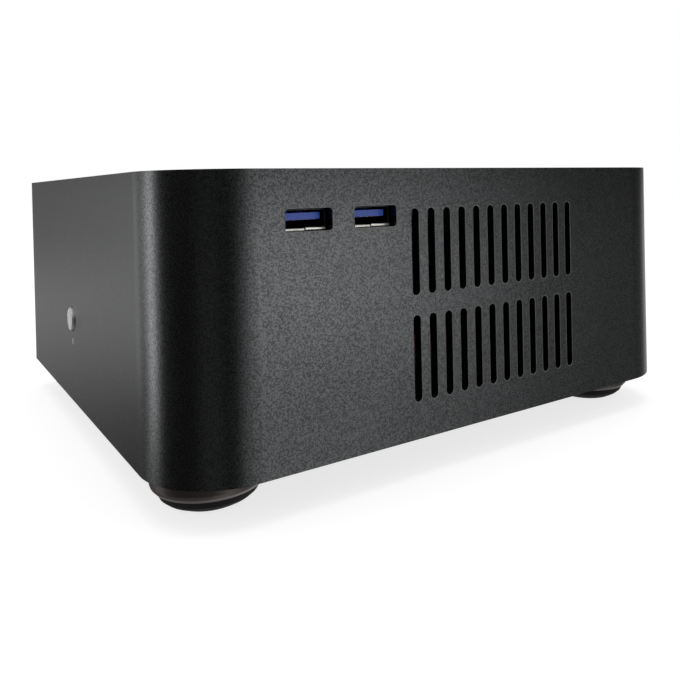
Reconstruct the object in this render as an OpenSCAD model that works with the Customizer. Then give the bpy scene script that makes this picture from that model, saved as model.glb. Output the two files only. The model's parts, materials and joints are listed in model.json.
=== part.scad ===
// Small desktop computer: an aluminium sleeve with a cover, tray and rear panel,
// a front socket board, a side push button, and a square mainboard with its cooler.
// Millimetres. Origin at the centre of the footprint, on the surface it stands on.
// -Y is the front, +X is the right-hand side seen from the front.

/* [Case] */
// Outer width of the case
body_w = 200; // [196:1:240]
// Outer depth of the case
body_d = 192; // [190:1:230]
// Height of the case walls, without the feet
body_h = 80; // [78:1:110]
// Radius of the two upright front corners
corner_r = 24; // [14:1:28]
// Thickness of the aluminium wall
wall_t = 3; // [2.5:0.1:4]
// Thickness of the top cover
cover_t = 2; // [1.5:0.1:3]
// Thickness of the bottom tray
tray_t = 2; // [1.5:0.1:3]
// Thickness of the rear panel
rear_t = 1.2; // [1:0.1:2]
// How far the rear panel lies inside the rear edge of the sleeve
rear_inset = 1; // [0.8:0.1:2]
// Gap round a plate that is let into the sleeve
seam_gap = 0.3; // [0.1:0.05:0.6]
// Height of the tray's bent side flanges
flange_h = 12; // [9:0.5:16]

/* [Rails] */
// Thickness of the angle rails and of the tray flanges
rail_t = 1.5; // [1:0.1:2]
// Width of a rail's level leg, which carries the cover
rail_w = 10; // [9:0.5:12]
// Height of a rail's upright leg, against the wall
rail_h = 7.2; // [7:0.1:8]

/* [Feet] */
// Height of the feet
foot_h = 11.5; // [9:0.5:16]
// Radius of a foot at the top
foot_r = 16.2; // [12:0.1:16.4]
// From the side of the case to a foot's centre
foot_side = 19.8; // [19.8:0.1:30]
// From the front or rear of the case to a foot's centre
foot_end = 27.1; // [25.5:0.1:40]

/* [Front slots] */
// Number of slots in each of the two rows
slot_count = 12; // [4:1:12]
// Width of a slot
slot_w = 2.75; // [2:0.05:3.5]
// Length of a slot, with its round ends
slot_length = 25.7; // [15:0.1:26]
// Distance from one slot to the next
slot_pitch = 6; // [5:0.1:6]
// From the left side of the case to the first slot's left edge
slot_left = 72.6; // [70:0.1:90]
// From the lower edge of the case to the lower row
slot_bottom = 11; // [6:0.1:11.5]
// Gap between the two rows
slot_row_gap = 5.8; // [4:0.1:6.5]

/* [Front sockets] */
// From the left side of the case to the first socket's centre
usb_left = 39; // [36:0.1:42]
// Distance between the two sockets
usb_pitch = 21.2; // [18:0.1:22]
// From the upper edge of the case to the sockets' centre
usb_drop = 13.7; // [13.5:0.1:16]
// Width of the cut-out in front of a socket
usb_cut_w = 14.2; // [13.6:0.1:15]
// Height of the cut-out in front of a socket
usb_cut_h = 6.2; // [6:0.1:6.6]
// Corner radius of the cut-out
usb_cut_r = 1; // [0.4:0.1:2]

/* [Power button] */
// From the front of the case to the button's centre
button_front = 107.6; // [95:0.1:125]
// From the lower edge of the case to the button's centre
button_up = 29.8; // [26:0.1:40]
// Radius of the button's cap
button_r = 4.15; // [3.5:0.05:5]
// How far the cap stands out of the wall
button_proud = 0.9; // [0.8:0.1:1.4]
// Travel of the button
button_travel = 0.8; // [0.4:0.1:0.8]
// From the button's centre down to the indicator light
led_drop = 8; // [7.5:0.1:9]
// Radius of the indicator's light pipe
led_r = 1.4; // [1:0.1:1.5]

/* [Mainboard] */
// Length of each side of the square mainboard
board_size = 170; // [168:1:172]
// Thickness of the mainboard
board_t = 1.6; // [1.2:0.1:2]
// Height of the standoffs under the mainboard
standoff_h = 6.5; // [6:0.5:8]
// Gap between the mainboard and the right-hand wall
board_gap = 3; // [2.5:0.1:4]
// Gap between the mainboard and the rear panel
board_rear_gap = 1.8; // [1.6:0.1:2.4]
// Width of the rear socket aperture
io_w = 158.75; // [150:0.25:158.75]
// Height of the rear socket aperture
io_h = 44.45; // [40:0.05:46]
// From the mainboard's upper face down to the aperture's lower edge
io_below = 3.9; // [3:0.1:4.5]

/* [Cooler] */
// From the mainboard's left edge to the processor's centre
cpu_from_left = 84; // [80:1:88]
// From the mainboard's rear edge to the processor's centre
cpu_from_rear = 70; // [69:1:72]
// Width of the square heatsink and of its fan
cooler_w = 70; // [66:1:72]
// Height of the fins above the heatsink's base
fin_h = 22; // [15:1:24]
// Number of fins
fin_count = 15; // [9:1:19]
// Height of the fan
fan_h = 15; // [14:1:18]
// Number of fan blades
blade_count = 7; // [5:1:9]

/* [Storage drive] */
// Length of the storage drive
drive_l = 100; // [98:1:101]
// Width of the storage drive
drive_w = 69.85; // [66:0.05:70]
// Height of the storage drive
drive_h = 7; // [5:0.5:7]
// Thickness of the drive's and the sockets' sheet brackets
bracket_t = 1.2; // [1:0.1:1.4]

/* [Hidden] */
$fn = 64;

// Clearance round a screw in its hole, and a small overrun for cutting tools
screw_gap = 0.1;
over = 1;

// The common pan-head screw
m3_r = 1.5;
m3_hole = m3_r + screw_gap;
m3_head_r = 2.6;
m3_head_h = 1.4;

// Levels and faces of the case
case_z = foot_h;
case_top = case_z + body_h;
cover_z = case_top - cover_t;
tray_top = case_z + tray_t;
rail_z = cover_z - rail_t;
front_y = -body_d / 2;
rear_y = body_d / 2;
inner_x = body_w / 2 - wall_t;
inner_front = front_y + wall_t;
panel_out = rear_y - rear_inset;
panel_in = panel_out - rear_t;
blind_depth = min(2.2, wall_t - 0.6);
bracket_inset = rail_t + m3_head_h + 0.3;

// Rails
rail_y0 = front_y + corner_r + 2;
front_rail_x = body_w / 2 - corner_r - 2;
rail_mid_w = inner_x - rail_t - (rail_w - rail_t) / 2;
rail_screw_z = rail_z - (rail_h - rail_t) / 2;
wall_screw_ys = [rail_y0 + 20, rail_y0 + 85, rail_y0 + 140];
tray_screw_z = tray_top + m3_head_r + 0.4;
cover_screw_ys = [rail_y0 + 9, (rail_y0 + panel_in) / 2, panel_in - 14];
rail_screw_xs = [-front_rail_x + 20, 0, front_rail_x - 20];

// Feet
foot_x = body_w / 2 - foot_side;
foot_y = body_d / 2 - foot_end;
foot_points = [for (sx = [-1, 1], sy = [-1, 1]) [sx * foot_x, sy * foot_y]];
foot_rim_h = 0.39 * foot_h;
foot_screw_r = 1.75;
foot_top_t = 2;
foot_bore_r = 0.34 * foot_r;

// Front slots
slot_x0 = -body_w / 2 + slot_left + slot_w / 2;
slot_z0 = case_z + slot_bottom + slot_length / 2;

// Front sockets
usb_x0 = -body_w / 2 + usb_left;
usb_xs = [usb_x0, usb_x0 + usb_pitch];
usb_mid = usb_x0 + usb_pitch / 2;
usb_z = case_top - usb_drop;
usb_w = 13.1;
usb_h = 5.72;
usb_t = 0.3;
usb_l = 14;
usb_lip = 1;
usb_flare = 0.6;
usb_y = inner_front + 0.15;
usb_board_w = usb_pitch + 25;
usb_board_l = 21;
usb_board_t = 1.6;
usb_board_y = inner_front + 1.5;
usb_board_z = usb_z - usb_h / 2 - usb_board_t;
usb_screw_xs = [usb_mid - usb_board_w / 2 + 2.8, usb_mid + usb_board_w / 2 - 2.8];
usb_screw_y = usb_board_y + usb_board_l - 3.2;
usb_web_y = usb_board_y + usb_board_l + 0.6;
tongue_t = 1.84;
tongue_w = 11.1;
tongue_z = usb_z + usb_h / 2 - usb_t - 0.75 - tongue_t;
tongue_y = usb_y + 1.3;
tongue_base_l = 3.4;

// Power button, measured inwards from the inside of the left wall
button_y = front_y + button_front;
button_z = case_z + button_up;
button_gap = 0.3;
button_flange_r = button_r + 0.85;
button_flange_t = 1.2;
button_stem_r = 1.5;
pocket_depth = button_flange_t + button_travel + 0.4;
guide_t = 2;
switch_z = pocket_depth + guide_t + 0.2;
switch_h = 3.5;
switch_w = 6.2;
switch_well = button_travel + 1.1;
holder_w = 18;
holder_up = button_flange_r + 3.5;
holder_down = led_drop + led_r + 3;
holder_depth = switch_z + switch_h;
switch_board_t = 1.2;
peg_r = 1;
peg_points = [[-holder_w / 2 + 2, -led_drop], [holder_w / 2 - 2, -led_drop]];
ear_x = holder_w / 2 + m3_head_r + 1;

// Mainboard
board_x1 = inner_x - board_gap;
board_x0 = board_x1 - board_size;
board_y1 = panel_in - board_rear_gap;
board_y0 = board_y1 - board_size;
board_z = tray_top + standoff_h;
board_top = board_z + board_t;
board_edge = 6.35;
board_front_hole = board_edge + 157.48;
board_hole_r = 1.95;
board_holes = [[board_x0 + 33.02, board_y1 - board_edge], [board_x0 + 165.1, board_y1 - board_edge],
    [board_x0 + 10.16, board_y1 - board_front_hole], [board_x0 + 165.1, board_y1 - board_front_hole]];
standoff_r = 2.9;
stub_r = 1.9;

// Rear socket aperture and sockets, left to right seen from the front
io_x1 = board_x1 - 3.5;
io_x0 = io_x1 - io_w;
io_z0 = board_top - io_below;
shield_t = 0.5;
socket_face = panel_out + 0.5;
lan_x = board_x0 + 84;
lan_w = 16;
lan_h = 13.6;
lan_l = 21;
port_w = 14.5;
port_h = 16;
port_l = 18;
port_xs = [board_x0 + 102, board_x0 + 154.5];
video_xs = [board_x0 + 119, board_x0 + 136.5];
video_w = 16;
video_h = 6.2;
video_l = 12;
video_mouth_w = 14;
video_mouth_h = 4.4;
video_mouth_l = 9;
video_cut_w = 1.8;
video_cut_h = 1.6;
video_tongue_w = 10;
video_tongue_z = board_top + video_h / 2 - 0.2;
audio_xs = [for (i = [0 : 2]) board_x0 + 42.5 + i * 12.5];
audio_w = 11;
audio_h = 12;
audio_l = 14;
audio_z = board_top + 6;
audio_barrel_r = 3.6;
audio_bore_r = 1.8;
socket_gap = 0.4;

// Rear panel
vent_z0 = io_z0 + io_h + 5;
vent_z1 = min(cover_z - rail_h - 1.5, vent_z0 + 15);
vent_count = floor((io_w - 14) / slot_pitch) + 1;
dc_x = (-inner_x + io_x0) / 2;
dc_z = case_z + 22;
dc_r = 5.4;
antenna_r = 3.25;
antenna_zs = [dc_z + 21, dc_z + 35];
panel_flange_l = 8;
panel_flanges = [[-inner_x + 3, board_holes[0][0] - 8], [board_holes[0][0] + 8, board_holes[1][0] - 8]];
panel_screw_xs = [-inner_x + 14, board_holes[0][0] - 16, board_holes[0][0] + 24, board_holes[1][0] - 28];

// Processor and cooler
cpu_x = board_x0 + cpu_from_left;
cpu_y = board_y1 - cpu_from_rear;
cpu_floor = board_top + 1.6;
cpu_w = 37.5;
socket_w = 44;
socket_h = 3.4;
substrate_t = 1.2;
lid_w = 31;
lid_t = 2.9;
base_z = cpu_floor + substrate_t + lid_t;
base_t = 4;
post_at = cooler_w / 2 + 2.5;
post_r = 3.2;
ear_r = 4.5;
backplate_arm = 7;
fin_t = 1.4;
fin_top = base_z + base_t + fin_h;
fan_hole_at = cooler_w / 2 - 5;
fan_bore_r = cooler_w / 2 - 1.5;
blade_tip_r = fan_bore_r - 0.8;
hub_r = 13.5;
hub_wall = 2;
shaft_r = 1.5;
shaft_gap = 0.05;
fan_base_t = 3;
blade_t = 1.2;
backplate_t = 2;

// Memory, small drive and other parts on the mainboard
memory_x = board_x1 - 44;
memory_w = 74;
memory_y = cpu_y - post_at - ear_r - 1;
memory_heights = [9.2, 5.2];
memory_step = 10;
module_w = 69.6;
module_l = 30;
module_t = 1.2;
m2_x = board_x0 + 26;
m2_y1 = cpu_y - 1;
m2_w = 22;
m2_l = 80;
m2_z = board_top + 2.4;
m2_t = 0.8;
stage_x = cpu_x + post_at + 12;
chip_x = board_x1 - 22;
chip_y = cpu_y - 20;
chip_w = 30;
cell_x = board_x1 - 12.2;
cell_y = cpu_y + 22;
cell_r = 10;
cell_h = 3.2;
power_x = m2_x;
power_y = cpu_y + 28;
header_y = board_y0 + 7;
usb_header_x = board_x0 + 46;
sata_x = board_x0 + 72;
switch_header_x = board_x0 + 22;

// Storage drive, hung under its bracket at the front
bracket_z = rail_z - bracket_t;
drive_x1 = inner_x - rail_w - 1;
drive_x0 = drive_x1 - drive_l;
drive_y0 = inner_front + rail_w + 0.2;
drive_y1 = drive_y0 + drive_w;
drive_holes = [for (x = [drive_x0 + 9.4, drive_x0 + 86], y = [drive_y0 + 4, drive_y1 - 4]) [x, y]];
bracket_screw_xs = [usb_screw_xs[0] + 4, usb_screw_xs[1] - 4, drive_x0 + 14, drive_x0 + 70];
rail_line_y = inner_front + rail_t + (rail_w - rail_t) / 2;
drive_rail_ys = [drive_y0 + 38, drive_y0 + 58];

// ---- shared shapes ----

module rounded_rect(w, h, r) {
    square([w - 2 * r, h], center = true);
    square([w, h - 2 * r], center = true);
    for (x = [-1, 1], y = [-1, 1])
        translate([x * (w / 2 - r), y * (h / 2 - r)])
            circle(r);
}

module stadium(w, l) {
    square([w, l - w], center = true);
    for (y = [-1, 1])
        translate([0, y * (l - w) / 2])
            circle(w / 2);
}

module block(w, d, h) {
    translate([-w / 2, -d / 2, 0])
        cube([w, d, h]);
}

// Outline of the case seen from above, moved inwards by inset: round at the front, square at the rear
module case_outline(inset, rear) {
    r = corner_r - inset;
    front = front_y + corner_r;
    translate([-body_w / 2 + inset, front])
        square([body_w - 2 * inset, rear - front]);
    translate([-body_w / 2 + corner_r, front_y + inset])
        square([body_w - 2 * corner_r, r + over]);
    for (x = [-1, 1])
        translate([x * (body_w / 2 - corner_r), front])
            circle(r);
}

// Turns a drawing in X and Z, pushed out along +Y
module facing_front(y0, depth) {
    translate([0, y0 + depth, 0])
        rotate([90, 0, 0])
            linear_extrude(depth)
                children();
}

// Local frame of the push button: Z runs inwards from the wall's inside, X to the rear, Y up
module at_button() {
    translate([-inner_x, button_y, button_z])
        rotate([90, 0, 90])
            children();
}

// Screw with a low round head on the seat z = 0 and its shank below, with a cross recess
module pan_screw(r, l, head_r, head_h) {
    difference() {
        union() {
            cylinder(r = head_r, h = head_h * 0.6);
            translate([0, 0, head_h * 0.6])
                cylinder(r1 = head_r, r2 = head_r * 0.72, h = head_h * 0.4);
            translate([0, 0, -l])
                cylinder(r = r, h = l + head_h * 0.3);
        }
        for (a = [0, 90])
            rotate([0, 0, a])
                translate([0, 0, head_h * 0.5])
                    block(head_r * 1.1, head_r * 0.25, head_h);
    }
}

module m3_screw(l) {
    pan_screw(m3_r, l, m3_head_r, m3_head_h);
}

// Countersunk screw whose flat top lies at z = 0
module flat_screw(l) {
    head_r = 2 * m3_r;
    difference() {
        union() {
            translate([0, 0, -m3_r])
                cylinder(r1 = m3_r, r2 = head_r, h = m3_r);
            translate([0, 0, -l])
                cylinder(r = m3_r, h = l);
        }
        for (a = [0, 90])
            rotate([0, 0, a])
                translate([0, 0, -0.8])
                    block(head_r * 1.1, 0.7, over);
    }
}

// Places children on the wall's inside, with Z pointing into the case
module on_side_wall(side, y, z, depth) {
    translate([side * (inner_x - depth), y, z])
        rotate([0, -90 * side, 0])
            children();
}

module on_front_wall(x, z, depth) {
    translate([x, inner_front + depth, z])
        rotate([-90, 0, 0])
            children();
}

// Every place where the same short screw goes into a blind hole in the wall
module at_wall_screws(depth) {
    for (side = [-1, 1], y = wall_screw_ys) {
        on_side_wall(side, y, rail_screw_z, depth)
            children();
        on_side_wall(side, y, tray_screw_z, depth)
            children();
    }
    for (x = rail_screw_xs)
        on_front_wall(x, rail_screw_z, depth)
            children();
    for (x = [-1, 1])
        on_side_wall(-1, button_y + x * ear_x, button_z, depth)
            children();
}

// ---- cables: a round tube along a smooth line through hand-set points ----

function unit(v) = v / norm(v);
function curve_point(p, q, r, s, t) = 0.5 * (2 * q + (r - p) * t + (2 * p - 5 * q + 4 * r - s) * t * t
    + (3 * q - p - 3 * r + s) * t * t * t);
function smooth(p, steps) = concat([for (i = [0 : len(p) - 2], k = [0 : steps - 1])
    curve_point(p[max(i - 1, 0)], p[i], p[i + 1], p[min(i + 2, len(p) - 1)], k / steps)], [p[len(p) - 1]]);
function tangent(p, i) = i == 0 ? unit(p[1] - p[0])
    : i == len(p) - 1 ? unit(p[i] - p[i - 1]) : unit(p[i + 1] - p[i - 1]);

module tube(points, r, steps = 5, sides = 8) {
    line = smooth(points, steps);
    n = len(line);
    first = abs(tangent(line, 0) * [0, 0, 1]) < 0.9 ? [0, 0, 1] : [1, 0, 0];
    across = [for (i = 0, v = unit(cross(tangent(line, 0), first)); i < n;
        i = i + 1, v = i < n ? unit(v - tangent(line, i) * (v * tangent(line, i))) : v) v];
    rings = [for (i = [0 : n - 1], k = [0 : sides - 1])
        let (u = across[i], w = cross(tangent(line, i), across[i]), a = 360 * k / sides)
            line[i] + r * (cos(a) * u + sin(a) * w)];
    walls = [for (i = [0 : n - 2], k = [0 : sides - 1])
        let (a = i * sides + k, b = i * sides + (k + 1) % sides)
            each [[a, a + sides, b], [b, a + sides, b + sides]]];
    ends = [[for (k = [0 : sides - 1]) k], [for (k = [sides - 1 : -1 : 0]) (n - 1) * sides + k]];
    polyhedron(rings, concat(walls, ends));
}

// ---- case ----

module front_slots() {
    for (i = [0 : slot_count - 1], row = [0, 1])
        translate([slot_x0 + i * slot_pitch, slot_z0 + row * (slot_length + slot_row_gap)])
            stadium(slot_w, slot_length);
}

module shell() {
    color([0.13, 0.13, 0.14])
        difference() {
            translate([0, 0, case_z])
                linear_extrude(body_h)
                    case_outline(0, rear_y);
            translate([0, 0, case_z - over])
                linear_extrude(body_h + 2 * over)
                    case_outline(wall_t, rear_y + over);
            facing_front(front_y - over, wall_t + 2 * over)
                front_slots();
            for (x = usb_xs)
                facing_front(front_y - over, wall_t + 2 * over)
                    translate([x, usb_z])
                        rounded_rect(usb_cut_w, usb_cut_h, usb_cut_r);
            at_button()
                translate([0, 0, -wall_t - over])
                    cylinder(r = button_r + button_gap, h = wall_t + 2 * over);
            at_button()
                translate([0, -led_drop, -wall_t - over])
                    cylinder(r = led_r + screw_gap, h = wall_t + 2 * over);
            at_wall_screws(0)
                translate([0, 0, -blind_depth])
                    cylinder(r = m3_hole, h = blind_depth + over);
        }
}

// Slots over the cooler, cut short by a circle like a fan guard
module fan_vent() {
    for (i = [-5 : 5])
        translate([cpu_x + i * slot_pitch, cpu_y])
            stadium(slot_w, 2 * sqrt(pow(cooler_w / 2, 2) - pow(i * slot_pitch, 2)));
}

module at_cover_screws() {
    for (side = [-1, 1], y = cover_screw_ys)
        translate([side * rail_mid_w, y, 0])
            children();
}

module top_cover() {
    color([0.11, 0.11, 0.12])
        difference() {
            translate([0, 0, cover_z])
                linear_extrude(cover_t)
                    case_outline(wall_t + seam_gap, rear_y);
            translate([0, 0, cover_z - over])
                linear_extrude(cover_t + 2 * over)
                    fan_vent();
            at_cover_screws()
                translate([0, 0, cover_z - over])
                    cylinder(r = m3_hole, h = cover_t + 2 * over);
            at_cover_screws()
                translate([0, 0, case_top - m3_r])
                    cylinder(r1 = m3_hole, r2 = 2 * m3_r + 2 * screw_gap, h = m3_r + 0.1);
        }
}

module tray_vents() {
    for (i = [-4 : 4], row = [0, 1])
        translate([cpu_x + i * 2 * slot_pitch, cpu_y - 17 + row * 34])
            stadium(slot_w, slot_length);
}

module at_panel_screws() {
    for (x = panel_screw_xs)
        translate([x, panel_in - panel_flange_l / 2, 0])
            children();
}

module base_tray() {
    color([0.16, 0.16, 0.17])
        difference() {
            union() {
                translate([0, seam_gap, case_z])
                    linear_extrude(tray_t)
                        case_outline(wall_t, panel_out - seam_gap);
                for (side = [-1, 1])
                    translate([side * (inner_x - rail_t / 2), (rail_y0 + board_y1) / 2, case_z])
                        block(rail_t, board_y1 - rail_y0, tray_t + flange_h);
            }
            translate([0, 0, case_z - over])
                linear_extrude(tray_t + 2 * over)
                    tray_vents();
            for (p = board_holes)
                translate([p[0], p[1], case_z - over])
                    cylinder(r = stub_r + 0.05, h = tray_t + 2 * over);
            for (p = foot_points)
                translate([p[0], p[1], case_z - over])
                    cylinder(r = foot_screw_r + screw_gap, h = tray_t + 2 * over);
            at_panel_screws()
                translate([0, 0, case_z - over])
                    cylinder(r = m3_hole, h = tray_t + 2 * over);
            at_wall_screws(0)
                translate([0, 0, -over])
                    cylinder(r = m3_hole, h = rail_t + 2 * over);
        }
}

module rear_vents() {
    for (i = [0 : vent_count - 1])
        translate([(io_x0 + io_x1) / 2 + (i - (vent_count - 1) / 2) * slot_pitch, (vent_z0 + vent_z1) / 2])
            stadium(slot_w, vent_z1 - vent_z0);
}

module rear_panel() {
    color([0.15, 0.15, 0.16])
        difference() {
            union() {
                translate([-inner_x, panel_in, tray_top])
                    cube([2 * inner_x, rear_t, cover_z - tray_top]);
                for (f = panel_flanges)
                    translate([f[0], panel_in - panel_flange_l, tray_top])
                        cube([f[1] - f[0], panel_flange_l + rear_t / 2, rear_t]);
            }
            translate([io_x0, panel_in - over, io_z0])
                cube([io_w, rear_t + 2 * over, io_h]);
            facing_front(panel_in - over, rear_t + 2 * over)
                rear_vents();
            facing_front(panel_in - over, rear_t + 2 * over)
                translate([dc_x, dc_z])
                    circle(dc_r + screw_gap);
            for (z = antenna_zs)
                facing_front(panel_in - over, rear_t + 2 * over)
                    translate([dc_x, z])
                        circle(antenna_r);
            for (side = [-1, 1])
                facing_front(panel_in - over, rear_t + 2 * over)
                    translate([side * rail_mid_w, rail_screw_z])
                        circle(m3_hole);
            at_panel_screws()
                translate([0, 0, tray_top - over])
                    cylinder(r = m3_hole, h = rear_t + 2 * over);
        }
}

// Angle rail drawn in X and Z, its corner at the top against the wall
module rail_profile() {
    translate([-rail_w, -rail_t])
        square([rail_w, rail_t]);
    translate([-rail_t, -rail_h])
        square([rail_t, rail_h]);
}

module side_rails() {
    color([0.6, 0.61, 0.62])
        for (side = [-1, 1])
            difference() {
                union() {
                    facing_front(rail_y0, panel_in - rail_y0)
                        translate([side * inner_x, cover_z])
                            scale([side, 1])
                                rail_profile();
                    translate([side * rail_mid_w, panel_in - rail_t / 2, cover_z - rail_h])
                        block(rail_w - rail_t, rail_t, rail_h - rail_t / 2);
                }
                at_wall_screws(0)
                    translate([0, 0, -over])
                        cylinder(r = m3_hole, h = rail_t + 2 * over);
                at_cover_screws()
                    translate([0, 0, rail_z - over])
                        cylinder(r = m3_hole, h = rail_t + 2 * over);
                translate([side * rail_mid_w, panel_in - rail_t - over, rail_screw_z])
                    rotate([-90, 0, 0])
                        cylinder(r = m3_hole, h = rail_t + 2 * over);
                for (y = drive_rail_ys)
                    translate([rail_mid_w, y, rail_z - over])
                        cylinder(r = m3_hole, h = rail_t + 2 * over);
            }
}

module front_rail() {
    color([0.6, 0.61, 0.62])
        difference() {
            translate([-front_rail_x, inner_front, cover_z])
                rotate([90, 0, 90])
                    linear_extrude(2 * front_rail_x)
                        scale([-1, 1])
                            rail_profile();
            at_wall_screws(0)
                translate([0, 0, -over])
                    cylinder(r = m3_hole, h = rail_t + 2 * over);
            for (x = bracket_screw_xs)
                translate([x, rail_line_y, rail_z - over])
                    cylinder(r = m3_hole, h = rail_t + 2 * over);
        }
}

module cover_screws() {
    color([0.1, 0.1, 0.1])
        at_cover_screws()
            translate([0, 0, case_top])
                flat_screw(cover_t + rail_t - 0.2);
}

module rear_screws() {
    color([0.1, 0.1, 0.1]) {
        for (side = [-1, 1])
            translate([side * rail_mid_w, panel_out, rail_screw_z])
                rotate([-90, 0, 0])
                    m3_screw(rear_t + rail_t + 1);
        at_panel_screws()
            translate([0, 0, case_z])
                rotate([180, 0, 0])
                    m3_screw(tray_t + rear_t + 1);
    }
}

module wall_screws() {
    color([0.55, 0.55, 0.56])
        at_wall_screws(rail_t)
            m3_screw(rail_t + blind_depth - 0.2);
}

module bracket_screws() {
    color([0.55, 0.55, 0.56]) {
        for (x = bracket_screw_xs)
            translate([x, rail_line_y, bracket_z])
                rotate([180, 0, 0])
                    m3_screw(bracket_t + rail_t - 0.2);
        for (y = drive_rail_ys)
            translate([rail_mid_w, y, bracket_z])
                rotate([180, 0, 0])
                    m3_screw(bracket_t + rail_t - 0.2);
    }
}

// ---- feet: a turned cup with a rubber pad pressed into it ----

module at_feet() {
    for (p = foot_points)
        translate([p[0], p[1], 0])
            children();
}

module foot_cups() {
    color([0.3, 0.29, 0.28])
        at_feet()
            rotate_extrude()
                polygon([[foot_screw_r + screw_gap, foot_h],
                    [foot_screw_r + screw_gap, foot_h - foot_top_t],
                    [foot_r - 3.4, foot_h - foot_top_t], [foot_r - 3.4, foot_rim_h],
                    [foot_r - 1.2, foot_rim_h], [foot_r - 0.3, foot_h * 0.48],
                    [foot_r, foot_h * 0.56], [foot_r, foot_h]]);
}

module foot_pads() {
    color([0.04, 0.04, 0.04])
        at_feet()
            rotate_extrude()
                polygon([[foot_bore_r, foot_h - foot_top_t], [foot_bore_r, 0.6], [foot_bore_r + 0.6, 0],
                    [foot_r - 6.4, 0], [foot_r - 4, 0.27 * foot_rim_h], [foot_r - 2.6, 0.53 * foot_rim_h],
                    [foot_r - 1.5, foot_rim_h], [foot_r - 3.5, foot_rim_h],
                    [foot_r - 3.5, foot_h - foot_top_t]]);
}

module foot_screws() {
    color([0.55, 0.55, 0.56])
        at_feet()
            translate([0, 0, foot_h - foot_top_t])
                rotate([180, 0, 0])
                    pan_screw(foot_screw_r, foot_top_t + tray_t + 2, 3.4, 1.8);
}

// ---- mainboard fixings ----

module at_board_holes() {
    for (p = board_holes)
        translate([p[0], p[1], 0])
            children();
}

module m2_stand_place() {
    translate([m2_x, m2_y1 - m2_l, 0])
        children();
}

module standoffs() {
    color([0.72, 0.6, 0.32]) {
        at_board_holes()
            difference() {
                union() {
                    translate([0, 0, tray_top])
                        cylinder(r = standoff_r, h = standoff_h, $fn = 6);
                    translate([0, 0, case_z])
                        cylinder(r = stub_r, h = tray_t + over);
                }
                translate([0, 0, case_z - over])
                    cylinder(r = m3_hole, h = tray_t + standoff_h + 2 * over);
            }
        m2_stand_place()
            difference() {
                translate([0, 0, board_top])
                    cylinder(r = 2.5, h = m2_z - board_top);
                translate([0, 0, board_top - over])
                    cylinder(r = 1.1, h = m2_z);
            }
    }
}

module board_screws() {
    color([0.75, 0.75, 0.76]) {
        at_board_holes()
            translate([0, 0, board_top])
                m3_screw(board_t + standoff_h - 1);
        m2_stand_place()
            translate([0, 0, m2_z + m2_t])
                pan_screw(1, m2_t + 1.4, 2.3, 0.9);
    }
}

// ---- front sockets ----

module at_usb() {
    for (x = usb_xs)
        translate([x, 0, 0])
            children();
}

module usb_board() {
    color([0.05, 0.16, 0.09])
        difference() {
            translate([usb_mid, usb_board_y + usb_board_l / 2, usb_board_z])
                linear_extrude(usb_board_t)
                    rounded_rect(usb_board_w, usb_board_l, 1);
            for (x = usb_screw_xs)
                translate([x, usb_screw_y, usb_board_z - over])
                    cylinder(r = m3_hole, h = usb_board_t + 2 * over);
        }
}

// Sheet folded into a C: tab under the rail, web behind the board, shelf under it
module usb_bracket() {
    top = rail_z;
    low = usb_board_z - bracket_t;
    color([0.62, 0.63, 0.64])
        difference() {
            translate([usb_mid - usb_board_w / 2, 0, 0])
                rotate([90, 0, 90])
                    linear_extrude(usb_board_w)
                        polygon([[inner_front + bracket_inset, top], [usb_web_y + bracket_t, top],
                            [usb_web_y + bracket_t, low], [usb_board_y, low],
                            [usb_board_y, low + bracket_t], [usb_web_y, low + bracket_t],
                            [usb_web_y, top - bracket_t], [inner_front + bracket_inset, top - bracket_t]]);
            translate([usb_mid, usb_board_y + usb_board_l / 2 - 4, low - over])
                linear_extrude(bracket_t + 2 * over)
                    rounded_rect(usb_board_w - 12, usb_board_l - 6, 2);
            for (x = usb_screw_xs)
                translate([x, usb_screw_y, low - over])
                    cylinder(r = m3_hole, h = bracket_t + 2 * over);
            for (x = bracket_screw_xs)
                translate([x, rail_line_y, bracket_z - over])
                    cylinder(r = m3_hole, h = bracket_t + 2 * over);
            facing_front(usb_web_y - over, bracket_t + 2 * over)
                translate([usb_mid, usb_board_z + 4])
                    rounded_rect(12, 7, 1.5);
        }
}

// A prism along X, from its outline in Y and Z
module along_x(w, outline) {
    translate([-w / 2, 0, 0])
        rotate([90, 0, 90])
            linear_extrude(w)
                polygon(outline);
}

// Tube of folded sheet, with a flared lip under its mouth
module usb_shell() {
    low = usb_t - usb_h / 2;
    steep = usb_flare / usb_lip;
    translate([0, 0, usb_z])
        difference() {
            union() {
                facing_front(usb_y, usb_l)
                    rounded_rect(usb_w, usb_h, 0.8);
                translate([0, usb_y, 0])
                    along_x(usb_w - 1.6, [[usb_lip, low], [0, low - usb_flare],
                        [0, -usb_h / 2 - usb_flare], [usb_lip, -usb_h / 2]]);
            }
            facing_front(usb_y - over, usb_l + 2 * over)
                rounded_rect(usb_w - 2 * usb_t, usb_h - 2 * usb_t, 0.5);
            translate([0, usb_y, 0])
                along_x(usb_w - 1.6,
                        [[usb_lip, low], [-over, low], [-over, low - steep * (usb_lip + over)]]);
            translate([0, usb_y + usb_l / 2, -usb_h / 2 - over])
                block(0.25, usb_l + 2 * over, usb_t + 2 * over);
            for (x = [-1, 1], z = [-1, 1])
                translate([x * 3, usb_y + 5.5, z * usb_h / 2 - over])
                    block(2.2, 5, 2 * over);
        }
}

module usb_shells() {
    color([0.8, 0.8, 0.78])
        at_usb()
            usb_shell();
}

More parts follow.
